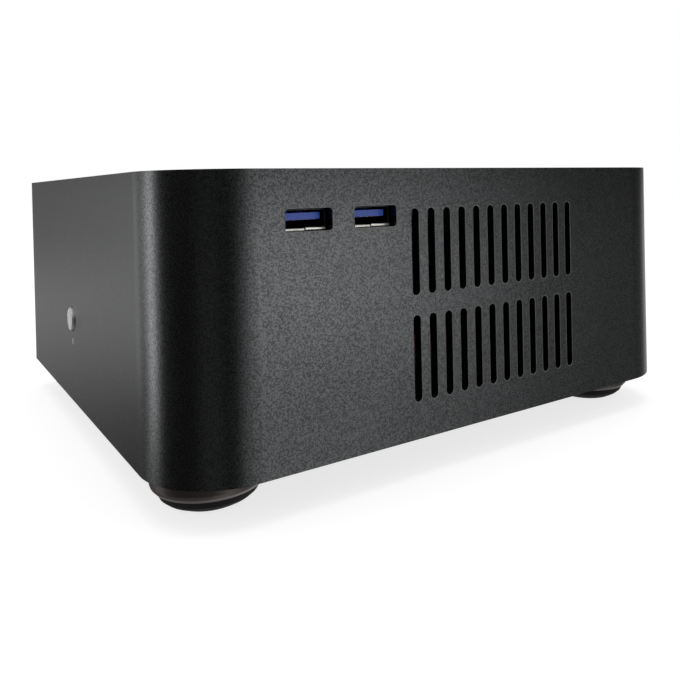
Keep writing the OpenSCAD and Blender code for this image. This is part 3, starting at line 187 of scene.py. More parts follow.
class Nodes:
    """A node tree while it is written: it adds nodes and joins them."""

    def __init__(self, tree: bpy.types.NodeTree) -> None:
        """Takes the tree of a material or of the world, and empties it."""
        self.tree = tree
        self.tree.nodes.clear()

    @staticmethod
    def find(sockets: Iterable[bpy.types.NodeSocket], key: Union[str, int]) -> bpy.types.NodeSocket:
        """Finds a socket by its place, its identifier or its name.

        Args:
            sockets: A node's inputs or outputs.
            key: The place, the identifier or the name.

        Returns:
            The socket.
        """
        listed = list(sockets)
        if isinstance(key, int):
            return listed[key]
        named = [s for s in listed if s.identifier == key] or [s for s in listed if s.name == key]
        return named[0]

    def fill(self, socket: bpy.types.NodeSocket, given: Any) -> None:
        """Gives a socket what it takes.

        Args:
            socket: The socket.
            given: A number, a vector, a colour, a Value or another socket.
        """
        source = given.socket if isinstance(given, Value) else given
        if isinstance(source, bpy.types.NodeSocket):
            self.tree.links.new(source, socket)
        elif socket.type == "RGBA":
            socket.default_value = (*source, 1.0)
        else:
            socket.default_value = source

    def node(self, kind: str, settings: Optional[Mapping[str, Any]] = None,
             inputs: Optional[Mapping[Union[str, int], Any]] = None) -> bpy.types.Node:
        """Adds one node, sets it, then fills its sockets.

        Args:
            kind: The node's type.
            settings: Its properties.
            inputs: What its sockets take, each by its place, its identifier or its name.

        Returns:
            The node.
        """
        made = self.tree.nodes.new(kind)
        for name, setting in (settings or {}).items():
            setattr(made, name, setting)
        for key, given in (inputs or {}).items():
            self.fill(self.find(made.inputs, key), given)
        return made

    def add(self, kind: str, settings: Optional[Mapping[str, Any]] = None,
            inputs: Optional[Mapping[Union[str, int], Any]] = None, output: Union[str, int] = 0) -> Value:
        """Adds one node, as node() does, and gives one of its outputs, ready for sums."""
        return Value(self, self.find(self.node(kind, settings, inputs).outputs, output))

    def split(self, vector: Value) -> tuple[Value, Value, Value]:
        """Gives the x, y and z of a vector."""
        outputs = self.node("ShaderNodeSeparateXYZ", None, {0: vector}).outputs
        return Value(self, outputs[0]), Value(self, outputs[1]), Value(self, outputs[2])

    def blend(self, share: Number, low: Union[Colour, Value], high: Union[Colour, Value]) -> Value:
        """Mixes two colours.

        Args:
            share: 0 for the first colour and 1 for the second.
            low: The first colour.
            high: The second colour.

        Returns:
            The mixed colour.
        """
        settings = {"data_type": "RGBA"}
        inputs = {"Factor_Float": share, "A_Color": low, "B_Color": high}
        return self.add("ShaderNodeMix", settings, inputs, "Result_Color")

    def choose(self, share: Number, low: bpy.types.NodeSocket,
               high: bpy.types.NodeSocket) -> bpy.types.NodeSocket:
        """Mixes two shaders, from all of the first at a share of 0 to all of the second at 1."""
        return self.node("ShaderNodeMixShader", None, {0: share, 1: low, 2: high}).outputs[0]

    def seen_by(self, *rays: str) -> Value:
        """Gives 1 on some kinds of ray and 0 on the others.

        Args:
            *rays: The outputs of the light path that count, such as "Is Camera Ray".

        Returns:
            The mask.
        """
        path = self.node("ShaderNodeLightPath")
        first, *rest = [Value(self, path.outputs[ray]) for ray in rays]
        return sum(rest, first).held()


class Recipe(Nodes):
    """One material while it is written."""

    def __init__(self, name: str) -> None:
        """Starts an empty material with one shader.

        Args:
            name: The material's name.
        """
        self.material = bpy.data.materials.new(name)
        self.material.use_nodes = True
        super().__init__(self.material.node_tree)
        self.shader = self.node("ShaderNodeBsdfPrincipled")
        self.output = self.node("ShaderNodeOutputMaterial", None, {"Surface": self.shader.outputs[0]})

    def place(self) -> Value:
        """Gives the place on the piece, in metres."""
        return self.add("ShaderNodeTexCoord", None, None, "Object")

    def stretched(self, along: Axis, factor: float) -> Value:
        """Gives the place with one axis drawn out, for marks that run along it.

        Args:
            along: The axis that the marks follow.
            factor: How many times longer than wide the marks are.

        Returns:
            The drawn-out place.
        """
        scale = [1.0, 1.0, 1.0]
        scale[along.value] = 1.0 / factor
        return self.add("ShaderNodeMapping", None, {"Vector": self.place(), "Scale": tuple(scale)})

    def parts(self) -> tuple[Value, Value, Value]:
        """Gives the x, y and z of the place on the piece."""
        return self.split(self.place())

    def noise(self, size: float, detail: float = 2.0, rough: float = 0.5,
              where: Optional[Value] = None) -> Value:
        """Adds a cloud of noise.

        Args:
            size: The size of its features in millimetres.
            detail: How many finer layers it has.
            rough: How strong the finer layers are.
            where: The place that it is read at, or None for the place on the piece.

        Returns:
            The noise, about 0 to 1.
        """
        inputs = {"Vector": where or self.place(), "Scale": 1.0 / (size * MM)}
        inputs.update({"Detail": detail, "Roughness": rough})
        return self.add("ShaderNodeTexNoise", None, inputs)

    def cells(self, size: float, metric: Metric = Metric.ROUND) -> Value:
        """Adds a pattern of cells: how far each place is from the middle of its cell.

        Args:
            size: The size of a cell in millimetres.
            metric: How distance is measured.

        Returns:
            The distance, in cells.
        """
        settings = {"feature": "F1", "distance": metric.value}
        inputs = {"Vector": self.place(), "Scale": 1.0 / (size * MM)}
        return self.add("ShaderNodeTexVoronoi", settings, inputs, "Distance")

    def bump(self, height: Value, depth: float) -> Value:
        """Gives the normal that a height tilts, where a height of 1 is this deep in millimetres."""
        return self.add("ShaderNodeBump", None, {"Height": height, "Distance": depth * MM})

    def finish(self, **sockets: Any) -> bpy.types.Material:
        """Fills the shader's sockets.

        Args:
            **sockets: A number, colour or Value for each, with the socket's name in small letters.

        Returns:
            The finished material.
        """
        for key, given in sockets.items():
            name = key.replace("_", " ").title().replace("Ior", "IOR")
            self.fill(self.find(self.shader.inputs, name), given)
        return self.material


# --------------------------------------------------------------------------------------------
# Finishes
# --------------------------------------------------------------------------------------------


def shades(colour: Colour, dim: float, bright: float) -> list[Colour]:
    """Multiplies a colour by two factors, up to white, for its darker and its lighter shade."""
    return [tuple(min(1.0, c * factor) for c in colour) for factor in (dim, bright)]


# In the finishes, the sizes of marks and the depths of bumps are in millimetres. A scale multiplies the main
# mark's size, and a height the bump's. An edge holds the values between which a pattern rises, tint holds
# the factors of the darker and the lighter shade, and vary is how far the roughness swings.


@dataclass(frozen=True)
class Blasted:
    """Aluminium, blasted with fine beads and dyed black: a soft sheen over fine close pits."""

    colour: Colour
    sheen: float = 0.28
    pit: float = 0.42
    depth: float = 0.009
    speck: float = 0.46
    pit_edge: Pair = (0.36, 0.64)
    drift: float = 26.0
    pit_share: float = 0.8
    drift_share: float = 0.2
    fine_scale: float = 0.5
    fine_height: float = 0.45
    vary: float = 0.1

    def make(self, name: str) -> bpy.types.Material:
        """Writes the material.

        Args:
            name: Its name.

        Returns:
            The material.
        """
        r = Recipe(name)
        pits = r.noise(self.pit, detail=1.0, rough=0.6)
        fine = r.noise(self.pit * self.fine_scale, detail=0.0)
        drift = r.noise(self.drift)
        share = (pits.step(*self.pit_edge) * self.pit_share + drift * self.drift_share).held()
        base = r.blend(share, *shades(self.colour, 1.0 - self.speck, 1.0 + self.speck))
        return r.finish(base_color=base, metallic=1.0, roughness=self.sheen + fine.swing(self.vary),
                        normal=r.bump(pits + fine * self.fine_height, self.depth))


@dataclass(frozen=True)
class Painted:
    """Sheet metal under a baked powder coat with a slight orange peel."""

    colour: Colour
    rough: float = 0.5
    peel: float = 1.1
    tint: Pair = (0.85, 1.2)
    drift: float = 35.0
    speck_scale: float = 0.3
    speck_height: float = 0.5
    depth: float = 0.02
    vary: float = 0.2

    def make(self, name: str) -> bpy.types.Material:
        """Writes the material.

        Args:
            name: Its name.

        Returns:
            The material.
        """
        r = Recipe(name)
        peel = r.noise(self.peel)
        speck = r.noise(self.peel * self.speck_scale, detail=1.0)
        base = r.blend(r.noise(self.drift, detail=3.0), *shades(self.colour, *self.tint))
        return r.finish(base_color=base, metallic=0.0, roughness=self.rough + speck.swing(self.vary),
                        normal=r.bump(peel + speck * self.speck_height, self.depth))


@dataclass(frozen=True)
class Drawn:
    """Bare metal with the straight marks of a mill, a brush or an extrusion die."""

    colour: Colour
    along: Axis
    rough: float = 0.34
    line: float = 0.35
    depth: float = 0.006
    stretch: float = 60.0
    tint: Pair = (0.82, 1.1)
    drift: float = 18.0
    vary: float = 0.2
    drift_vary: float = 0.12

    def make(self, name: str) -> bpy.types.Material:
        """Writes the material.

        Args:
            name: Its name.

        Returns:
            The material.
        """
        r = Recipe(name)
        lines = r.noise(self.line, 2.0, 0.6, r.stretched(self.along, self.stretch))
        drift = r.noise(self.drift, detail=3.0)
        base = r.blend(lines, *shades(self.colour, *self.tint))
        rough = self.rough + lines.swing(self.vary) + drift.swing(self.drift_vary)
        return r.finish(base_color=base, metallic=1.0, roughness=rough, normal=r.bump(lines, self.depth))


@dataclass(frozen=True)
class Plated:
    """Metal under a thin bright plate, with faint stains and hairline scratches."""

    colour: Colour
    stain: Colour
    rough: float = 0.22
    blotch: float = 3.0
    vary: float = 0.16
    blotch_edge: Pair = (0.35, 0.7)
    scratch: float = 0.25
    stretch: float = 25.0
    scratch_vary: float = 0.08
    depth: float = 0.002

    def make(self, name: str) -> bpy.types.Material:
        """Writes the material.

        Args:
            name: Its name.

        Returns:
            The material.
        """
        r = Recipe(name)
        blotch = r.noise(self.blotch, detail=3.0, rough=0.6)
        scratch = r.noise(self.scratch, 1.0, 0.5, r.stretched(Axis.X, self.stretch))
        base = r.blend(blotch.step(*self.blotch_edge), self.colour, self.stain)
        rough = self.rough + blotch.swing(self.vary) + scratch.swing(self.scratch_vary)
        return r.finish(base_color=base, metallic=1.0, roughness=rough, normal=r.bump(scratch, self.depth))


@dataclass(frozen=True)
class Turned:
    """Metal from a lathe: fine rings up its sides, and round four mirrored centres, given in metres."""

    colour: Colour
    centre: Pair
    rough: float = 0.25
    ring: float = 0.3
    metallic: float = 1.0
    side_ring: float = 0.4
    haze: float = 2.4
    tint: Pair = (0.8, 1.15)
    depth: float = 0.0015
    vary: float = 0.12

    def make(self, name: str) -> bpy.types.Material:
        """Writes the material.

        Args:
            name: Its name.

        Returns:
            The material.
        """
        r = Recipe(name)
        x, y, z = r.parts()
        dx, dy = abs(x) - self.centre[0], abs(y) - self.centre[1]
        radius = (dx * dx + dy * dy).root()
        rings = (radius.wave(self.ring) + z.wave(self.side_ring)) * 0.5
        haze = r.noise(self.haze, detail=3.0)
        base = r.blend(haze, *shades(self.colour, *self.tint))
        return r.finish(base_color=base, metallic=self.metallic, roughness=self.rough + haze.swing(self.vary),
                        normal=r.bump(rings, self.depth))


@dataclass(frozen=True)
class Moulded:
    """Plastic or rubber from a mould with a fine spark-eroded face."""

    colour: Colour
    rough: float = 0.55
    grain: float = 0.35
    depth: float = 0.01
    shine: float = 0.5
    clear: float = 0.0
    drift: float = 12.0
    tint: Pair = (0.8, 1.2)
    vary: float = 0.15

    def make(self, name: str) -> bpy.types.Material:
        """Writes the material.

        Args:
            name: Its name.

        Returns:
            The material.
        """
        r = Recipe(name)
        grain = r.noise(self.grain)
        base = r.blend(r.noise(self.drift), *shades(self.colour, *self.tint))
        return r.finish(base_color=base, metallic=0.0, roughness=self.rough + grain.swing(self.vary),
                        specular_ior_level=self.shine, transmission_weight=self.clear,
                        normal=r.bump(grain, self.depth))


@dataclass(frozen=True)
class Masked:
    """A circuit board: glass fibre with copper tracks that stand up under the solder mask."""

    colour: Colour
    track: Colour
    pitch: float = 2.4
    track_phase: float = 14.0
    track_edge: Pair = (0.55, 0.8)
    track_height: float = 0.6
    via_scale: float = 1.3
    via_edge: Pair = (0.1, 0.16)
    weave: float = 0.4
    weave_height: float = 0.2
    tint: Pair = (0.8, 1.0)
    depth: float = 0.02
    rough: float = 0.32
    vary: float = 0.12
    coat: float = 0.35
    coat_rough: float = 0.15

    def make(self, name: str) -> bpy.types.Material:
        """Writes the material.

        Args:
            name: Its name.

        Returns:
            The material.
        """
        r = Recipe(name)
        tracks = (r.cells(self.pitch, Metric.SQUARE) * self.track_phase).sine().step(*self.track_edge)
        vias = 1.0 - r.cells(self.pitch * self.via_scale).step(*self.via_edge)
        weave = r.noise(self.weave, detail=1.0)
        raised = (tracks * self.track_height + vias).held()
        base = r.blend(raised, r.blend(weave, *shades(self.colour, *self.tint)), self.track)
        return r.finish(base_color=base, metallic=0.0, roughness=self.rough + weave.swing(self.vary),
                        coat_weight=self.coat, coat_roughness=self.coat_rough,
                        normal=r.bump(raised + weave * self.weave_height, self.depth))


@dataclass(frozen=True)
class Jacket:
    """The soft cover of a lead, with faint ribs from the strands under it."""

    colour: Colour
    rough: float = 0.48
    strand: float = 1.4
    dust: float = 0.8
    dust_height: float = 0.4
    tint: Pair = (0.75, 1.3)
    depth: float = 0.03
    vary: float = 0.2

    def make(self, name: str) -> bpy.types.Material:
        """Writes the material.

        Args:
            name: Its name.

        Returns:
            The material.
        """
        r = Recipe(name)
        x, y, z = r.parts()
        ribs = (x + y + z).wave(self.strand) * 0.5 + 0.5
        dust = r.noise(self.dust, detail=3.0)
        base = r.blend(dust, *shades(self.colour, *self.tint))
        return r.finish(base_color=base, metallic=0.0, roughness=self.rough + dust.swing(self.vary),
                        normal=r.bump(ribs + dust * self.dust_height, self.depth))


FINISHES: dict[str, Any] = {
    "anodised_shell": Blasted((0.0555, 0.0575, 0.0585)),
    "anodised_cover": Blasted((0.0535, 0.0555, 0.0565)),
    "black_steel": Painted((0.022, 0.022, 0.024)),
    "mill_aluminium": Drawn((0.6, 0.61, 0.62), Axis.Y),
    "black_screw": Plated((0.035, 0.035, 0.036), (0.06, 0.058, 0.055), 0.32),
    "zinc_steel": Plated((0.6, 0.61, 0.64), (0.53, 0.54, 0.55), 0.3, 5.0, 0.05),
    "foot_metal": Turned((0.062, 0.053, 0.049), (0.0802, 0.0689), 0.4, 0.3, 0.85),
    "foot_rubber": Moulded((0.005, 0.005, 0.0052), 0.75, 0.5, 0.02, 0.15),
    "brass": Plated((0.72, 0.55, 0.25), (0.6, 0.42, 0.18), 0.25),
    "nickel": Plated((0.75, 0.74, 0.7), (0.62, 0.6, 0.56), 0.2),
    # The next two are painted shade: nickel and gold darkened for the shade deep in the front sockets.
    "nickel_painted_shade": Plated((0.06, 0.06, 0.065), (0.04, 0.04, 0.045), 0.55),
    "gold_painted_shade": Plated((0.3, 0.24, 0.13), (0.2, 0.16, 0.09), 0.5, 1.2),
    # The lips' nickel, brighter than plain nickel: painted highlight.
    "nickel_painted_highlight": Plated((0.88, 0.86, 0.79), (0.82, 0.8, 0.73), 0.34, 6.0, 0.05),
    "bare_aluminium": Drawn((0.2, 0.203, 0.207), Axis.Z, 0.55, 0.4, 0.003),
    "blue_plastic": Moulded((0.03, 0.1, 0.55), 0.36, 0.3, 0.004),
    "contact_gold": Plated((0.85, 0.62, 0.25), (0.75, 0.5, 0.2), 0.18, 1.2),
    "circuit_board": Masked((0.008, 0.03, 0.022), (0.02, 0.075, 0.05)),
    "black_plastic": Moulded((0.02, 0.02, 0.021), 0.5),
    "button_metal": Drawn((0.66, 0.66, 0.66), Axis.Z, 0.5, 0.2, 0.002),
    "clear_plastic": Moulded((0.6, 0.63, 0.65), 0.18, 0.6, 0.002, 0.5, 0.5),
    "led_plastic": Moulded((0.6, 0.7, 0.85), 0.2, 0.6, 0.002, 0.5, 0.3),
    "cable_black": Jacket((0.015, 0.015, 0.015)),
    # The red lead's colour is darkened: painted shade, for the dark inside of the case that shows through the
    # slots.
    "cable_red": Jacket((0.12, 0.008, 0.008)),
    "heatsink_aluminium": Drawn((0.65, 0.66, 0.67), Axis.Z, 0.38, 0.5, 0.008),
    "ferrite": Moulded((0.09, 0.09, 0.09), 0.75, 0.4, 0.03, 0.3),
    "capacitor_can": Drawn((0.75, 0.75, 0.77), Axis.Z, 0.22, 0.3, 0.002),
    "drive_metal": Painted((0.2, 0.21, 0.22), 0.42, 0.7),
}
# Nodes given a darker, duller finish than their slot's: painted shade, because the photograph shows them dark
# deep in their sockets.
PAINTED_SHADE_NODES = {"usb_shells": "nickel_painted_shade", "usb_contacts": "gold_painted_shade"}


class Dresser:
    """Gives each node of the frame, and each new piece, its finish."""

    def __init__(self, finishes: Mapping[str, Any]) -> None:
        """Makes the material of each finish."""
        self.made = {name: finish.make(name) for name, finish in finishes.items()}

    def dress(self, obj: bpy.types.Object, finish: str) -> bpy.types.Object:
        """Puts one finish over a whole piece.

        Args:
            obj: The piece.
            finish: The name of the finish.

        Returns:
            The piece.
        """
        if not obj.material_slots:
            obj.data.materials.append(self.made[finish])
        for place in obj.material_slots:
            place.material = self.made[finish]
        LOG.info("dressed %s in %s", obj.name, finish)
        return obj

    def dress_frame(self) -> None:
        """Dresses every node by the slot that the record gives it, but for those in painted shade."""
        for part in frame["record"]["subparts"]:
            node = part["node"]
            self.dress(frame["nodes"][node], PAINTED_SHADE_NODES.get(node, part["material_slot"]))


# --------------------------------------------------------------------------------------------
# New pieces
# --------------------------------------------------------------------------------------------


# Where the front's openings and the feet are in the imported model, in millimetres.
FRONT = -96.0
USB_X, USB_PITCH, USB_Z = -61.0, 21.2, 77.8
SLOT_X, SLOT_PITCH, SLOTS = -26.03, 6.0, 12
SLOT_ZS = (66.85, 35.35)
SLOT_END = SLOT_X + (SLOTS - 1) * SLOT_PITCH
FOOT_X, FOOT_Y = 80.2, 68.9


# In degrees.
QUARTER_TURN = 90.0


class Skin:
    """A new piece in mesh code: rings of points, each joined to the next."""

    def __init__(self, name: str) -> None:
        """Starts an empty mesh for the piece of this name."""
        self.name = name
        self.mesh = bmesh.new()

    def join(self, rings: Sequence[Sequence[Point]], looped: bool = False) -> None:
        """Joins rings of as many points each into one closed surface.

        Args:
            rings: The rings in order, in millimetres.
            looped: Whether the last ring joins the first; if not, both are closed with a face.
        """
        made = [[self.mesh.verts.new([c * MM for c in point]) for point in ring] for ring in rings]
        for ring, after in zip(made, made[1:] + made[:1] if looped else made[1:]):
            for i, j in zip(range(len(ring)), [*range(1, len(ring)), 0]):
                self.mesh.faces.new((ring[i], ring[j], after[j], after[i]))
        if not looped:
            self.mesh.faces.new(made[0][::-1])
            self.mesh.faces.new(made[-1])

    def build(self, body: str, slot: str) -> bpy.types.Object:
        """Ends the mesh and sends the piece with a body.

        Args:
            body: The CAD body that it rides on.
            slot: The record's material slot that it belongs to; not used.

        Returns:
            The piece.
        """
        bmesh.ops.recalc_face_normals(self.mesh, faces=self.mesh.faces)
        data = bpy.data.meshes.new(self.name)
        self.mesh.to_mesh(data)
        self.mesh.free()
        data.shade_smooth()
        piece = bpy.data.objects.new(self.name, data)
        bpy.context.scene.collection.objects.link(piece)
        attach(piece, body)
        return piece


@dataclass(frozen=True)
class Opening:
    """A rounded opening in the shell's front, in millimetres."""

    x: float
    z: float
    width: float
    height: float
    radius: float
    steps: int = 6

    def edge(self, section: Sequence[Pair]) -> list[list[Point]]:
        """Runs a section round the opening's edge.

        Args:
            section: How far each of its points lies outwards from the edge, and how far it stands out of
                the front.

        Returns:
            One ring for each place round the edge.
        """
        rings: list[list[Point]] = []
        for side, (sx, sz) in enumerate(((1, 1), (-1, 1), (-1, -1), (1, -1))):
            x = self.x + sx * (self.width / 2 - self.radius)
            z = self.z + sz * (self.height / 2 - self.radius)
            for step in range(self.steps + 1):
                turn = math.radians(QUARTER_TURN * (side + step / self.steps))
                reach = [(self.radius + out) for out, _ in section]
                rings.append([(x + r * math.cos(turn), FRONT - proud, z + r * math.sin(turn))
                              for r, (_, proud) in zip(reach, section)])
        return rings


@dataclass(frozen=True)
class FrontTrim:
    """What is added at one kind of opening in the case's front, in millimetres."""

    # The section of the bare edge: outwards from the opening's edge, and out of the front.
    section: tuple[Pair, ...] = (
        (0.18, 0.0), (0.1, 0.03), (0.01, 0.02), (-0.04, -0.05), (-0.04, -0.16), (0.05, -0.2))

    def openings(self) -> list[Opening]:
        """Gives the openings, which each kind lists for itself."""
        raise NotImplementedError

    def build_edges(self, name: str, dresser: Dresser) -> bpy.types.Object:
        """Lays the thin bright break of the edge round the openings, where the blasting wore the dye.

        Args:
            name: The piece's name.
            dresser: What gives it its finish.

        Returns:
            The piece.
        """
        skin = Skin(name)
        for opening in self.openings():
            skin.join(opening.edge(self.section), looped=True)
        return dresser.dress(skin.build("case", "anodised_shell"), "bare_aluminium")


@dataclass(frozen=True)
class SlotTrim(FrontTrim):
    """The trim of the two rows of upright round-ended slots, in millimetres."""

    width: float = 2.75
    length: float = 25.7

    def openings(self) -> list[Opening]:
        """Gives the slots, the upper row first."""
        return [Opening(SLOT_X + i * SLOT_PITCH, z, self.width, self.length, self.width / 2)
                for z in SLOT_ZS for i in range(SLOTS)]

    def build(self, dresser: Dresser) -> None:
        """Builds and dresses the slots' edges."""
        self.build_edges("slot_edges", dresser)


@dataclass(frozen=True)
class SocketTrim(FrontTrim):
    """The trim of the two front sockets, in millimetres."""

    count: int = 2
    width: float = 14.2
    height: float = 6.2
    radius: float = 1.0
    # The lip's section in y and z, then each half's start and end from the socket's middle, and its rise.
    lip_section: tuple[Pair, ...] = (
        (-92.86, 74.73), (-93.0, 74.73), (-93.07, 74.79), (-93.1, 74.95), (-93.1, 75.35), (-93.06, 75.52),
        (-92.86, 75.58))
    lip_halves: tuple[tuple[float, float, float], ...] = ((-6.45, -0.1, -0.03), (0.22, 6.5, 0.09))
    # How high a half reaches at its very ends, and how far from them it has its full height.
    lip_end: float = 75.45
    lip_bevel: float = 0.08
    # The black wall, partly the insulator's end and partly painted shade deep in the socket: half its width,
    # its lower and upper edge, and its front and back in y.
    wall_half: float = 6.2
    wall_heights: Pair = (75.26, 77.0)
    wall_depths: Pair = (-82.45, -82.28)

    def openings(self) -> list[Opening]:
        """Gives the cut-outs of the two sockets."""
        return [Opening(USB_X + i * USB_PITCH, USB_Z, self.width, self.height, self.radius)
                for i in range(self.count)]

    def build_lips(self, dresser: Dresser) -> bpy.types.Object:
        """Folds each shell's lower lip down into view, in two halves with the seam between them, in a nickel
        brighter than plain nickel: painted highlight.

        Args:
            dresser: What gives the piece its finish.

        Returns:
            The piece.
        """
        skin = Skin("usb_lips")
        top = max(z for _, z in self.lip_section)
        for opening in self.openings():
            for start, end, rise in self.lip_halves:
                places = ((start, self.lip_end), (start + self.lip_bevel, top),
                          (end - self.lip_bevel, top), (end, self.lip_end))
                skin.join([[(opening.x + x, y, min(z, most) + rise) for y, z in self.lip_section]
                           for x, most in places])
        return dresser.dress(skin.build("case", "nickel"), "nickel_painted_highlight")

    def build_shade_walls(self, dresser: Dresser) -> bpy.types.Object:
        """Stands the black wall that ends each socket's cavity below the tongue: the insulator's end, made
        black as painted shade for the socket's dark depth.

        Args:
            dresser: What gives the piece its finish.

        Returns:
            The piece.
        """
        skin = Skin("usb_shade_walls")
        low, high = self.wall_heights
        for opening in self.openings():
            skin.join([[(opening.x + side * self.wall_half, y, z)
                        for side, z in ((-1, low), (1, low), (1, high), (-1, high))]
                       for y in self.wall_depths])
        return dresser.dress(skin.build("case", "black_plastic"), "black_plastic")

    def build(self, dresser: Dresser) -> None:
        """Builds and dresses the sockets' edges, lips and black walls, with the lips' painted highlight and
        the walls' painted shade.

        Args:
            dresser: What gives the pieces their finish.
        """
        self.build_edges("usb_edges", dresser)
        self.build_lips(dresser)
        self.build_shade_walls(dresser)


# --------------------------------------------------------------------------------------------
# Camera and image points
# --------------------------------------------------------------------------------------------


@dataclass(frozen=True)
class Viewpoint:
    """The photograph's camera: where it stands, where it looks and how the frame is shifted."""

    place: Point = (-0.150395, -0.262623, 0.085974)
    yaw: float = 35.2
    pitch: float = -0.579
    roll: float = -1.251
    lens: float = 37.433
    sensor_width: float = 36.0
    shift_x: float = -0.08165
    shift_y: float = -0.2143
    width: int = 680
    height: int = 680
    clip_near: float = 0.005
    clip_far: float = 50.0

    def axes(self) -> Matrix:
        """Turns the yaw, pitch and roll into axes.

        Returns:
            The camera's right, up and backward axes as the columns of a matrix.
        """
        yaw, pitch, roll = (math.radians(a) for a in (self.yaw, self.pitch, self.roll))
        ahead = Vector((math.sin(yaw) * math.cos(pitch), math.cos(yaw) * math.cos(pitch), math.sin(pitch)))
        level = Vector((math.cos(yaw), -math.sin(yaw), 0.0))
        upright = level.cross(ahead)
        right = level * math.cos(roll) + upright * math.sin(roll)
        up = upright * math.cos(roll) - level * math.sin(roll)
        return Matrix((right, up, -ahead)).transposed()

    def build(self) -> bpy.types.Object:
        """Makes the camera and gives it to the scene.

        Returns:
            The camera.
        """
        data = bpy.data.cameras.new("photo_camera")
        data.sensor_fit = "AUTO"
        data.sensor_width = self.sensor_width
        data.lens = self.lens
        data.shift_x, data.shift_y = self.shift_x, self.shift_y
        data.clip_start, data.clip_end = self.clip_near, self.clip_far
        camera = bpy.data.objects.new("photo_camera", data)
        camera.matrix_world = Matrix.Translation(self.place) @ self.axes().to_4x4()
        bpy.context.scene.collection.objects.link(camera)
        bpy.context.scene.camera = camera
        return camera

    def ray(self, x: float, y: float) -> Vector:
        """Gives the direction in which a pixel looks.

        Args:
            x: The pixel's x in the photograph's frame.
            y: Its y.

        Returns:
            A unit vector.
        """
        long = max(self.width, self.height)
        local = Vector((x - self.width / 2 + self.shift_x * long, self.height / 2 - y + self.shift_y * long,
                        -long * self.lens / self.sensor_width))
        return (self.axes() @ local).normalized()

    def pixel(self, point: Vector) -> Pixel:
        """Gives the pixel at which a point shows.

        Args:
            point: A point of the scene.

        Returns:
            Its x and y in the photograph's frame.
        """
        long = max(self.width, self.height)
        local = self.axes().transposed() @ (point - Vector(self.place))
        scale = long * self.lens / self.sensor_width / -local.z
        return (self.width / 2 - self.shift_x * long + local.x * scale,
                self.height / 2 + self.shift_y * long - local.y * scale)


class Edge(Enum):
    """Which edge of what shows a point marks."""

    LOW = 0.0
    MIDDLE = 0.5
    HIGH = 1.0


@dataclass(frozen=True)
class Feature:
    """One image point: where the photograph shows it, and the finished vertices that it is read from.

    Without a node, the vertices are those of the whole object. With one, they are the node's vertices
    within a reach of a place, both in millimetres.
    """

    x: Optional[float]
    y: Optional[float]
    node: str = ""
    middle: Point = (0.0, 0.0, 0.0)
    reach: Point = (500.0, 500.0, 500.0)
    edge_x: Edge = Edge.MIDDLE
    edge_y: Edge = Edge.MIDDLE

    def near(self, point: Vector) -> bool:
        """Tells whether a point is within the feature's reach."""
        return all(abs(c - m * MM) <= r * MM for c, m, r in zip(point, self.middle, self.reach))


# How far from the front's plane, and how far round a foot, a feature's vertices may lie, in millimetres.
FRONT_SKIN = 0.2
FOOT_REACH = 20.0


def on_front(x: float, z: float, across: float, up: float) -> dict[str, Any]:
    """Gives a feature the shell's vertices round a place on the outside of its front, in millimetres."""
    return {"node": "shell", "middle": (x, FRONT, z), "reach": (across, FRONT_SKIN, up)}


def at_foot(node: str, side: int) -> dict[str, Any]:
    """Gives a feature a node's vertices round the left (-1) or the right (1) front foot."""
    return {"node": node, "middle": (side * FOOT_X, -FOOT_Y, 0.0), "reach": (FOOT_REACH,) * 3}


FEATURES: dict[str, Feature] = {
    "case_left": Feature(34.6, None, edge_x=Edge.LOW),
    "case_right": Feature(645.4, None, edge_x=Edge.HIGH),
    "case_top": Feature(None, 165.2, edge_y=Edge.LOW),
    "object_bottom": Feature(None, 511.6, edge_y=Edge.HIGH),
    "usb_left": Feature(306.5, 220.1, **on_front(USB_X, USB_Z, 9.0, 5.0)),
    "usb_right": Feature(372.9, 216.1, **on_front(USB_X + USB_PITCH, USB_Z, 9.0, 5.0)),
    "slot_first_upper": Feature(416.5, 251.4, **on_front(SLOT_X, SLOT_ZS[0], 2.2, 13.5)),
    "slot_first_lower": Feature(416.5, 359.2, **on_front(SLOT_X, SLOT_ZS[1], 2.2, 13.5)),
    "slot_last_upper": Feature(570.3, 237.3, **on_front(SLOT_END, SLOT_ZS[0], 2.2, 13.5)),
    "slot_last_lower": Feature(570.3, 328.0, **on_front(SLOT_END, SLOT_ZS[1], 2.2, 13.5)),
    "power_button": Feature(71.9, 319.3, "power_button"),
    "power_light": Feature(72.4, 341.3, "light_pipe"),
    "foot_left_edge": Feature(151.6, None, **at_foot("foot_cups", -1), edge_x=Edge.LOW),
    "foot_left_far_edge": Feature(256.6, None, **at_foot("foot_cups", -1), edge_x=Edge.HIGH),
    "foot_right_base": Feature(None, 399.1, **at_foot("foot_pads", 1), edge_y=Edge.HIGH),
}


# How far in front of a point, in metres, the surface that a ray meets may lie and still be the point's own.
GRAZE = 0.0003


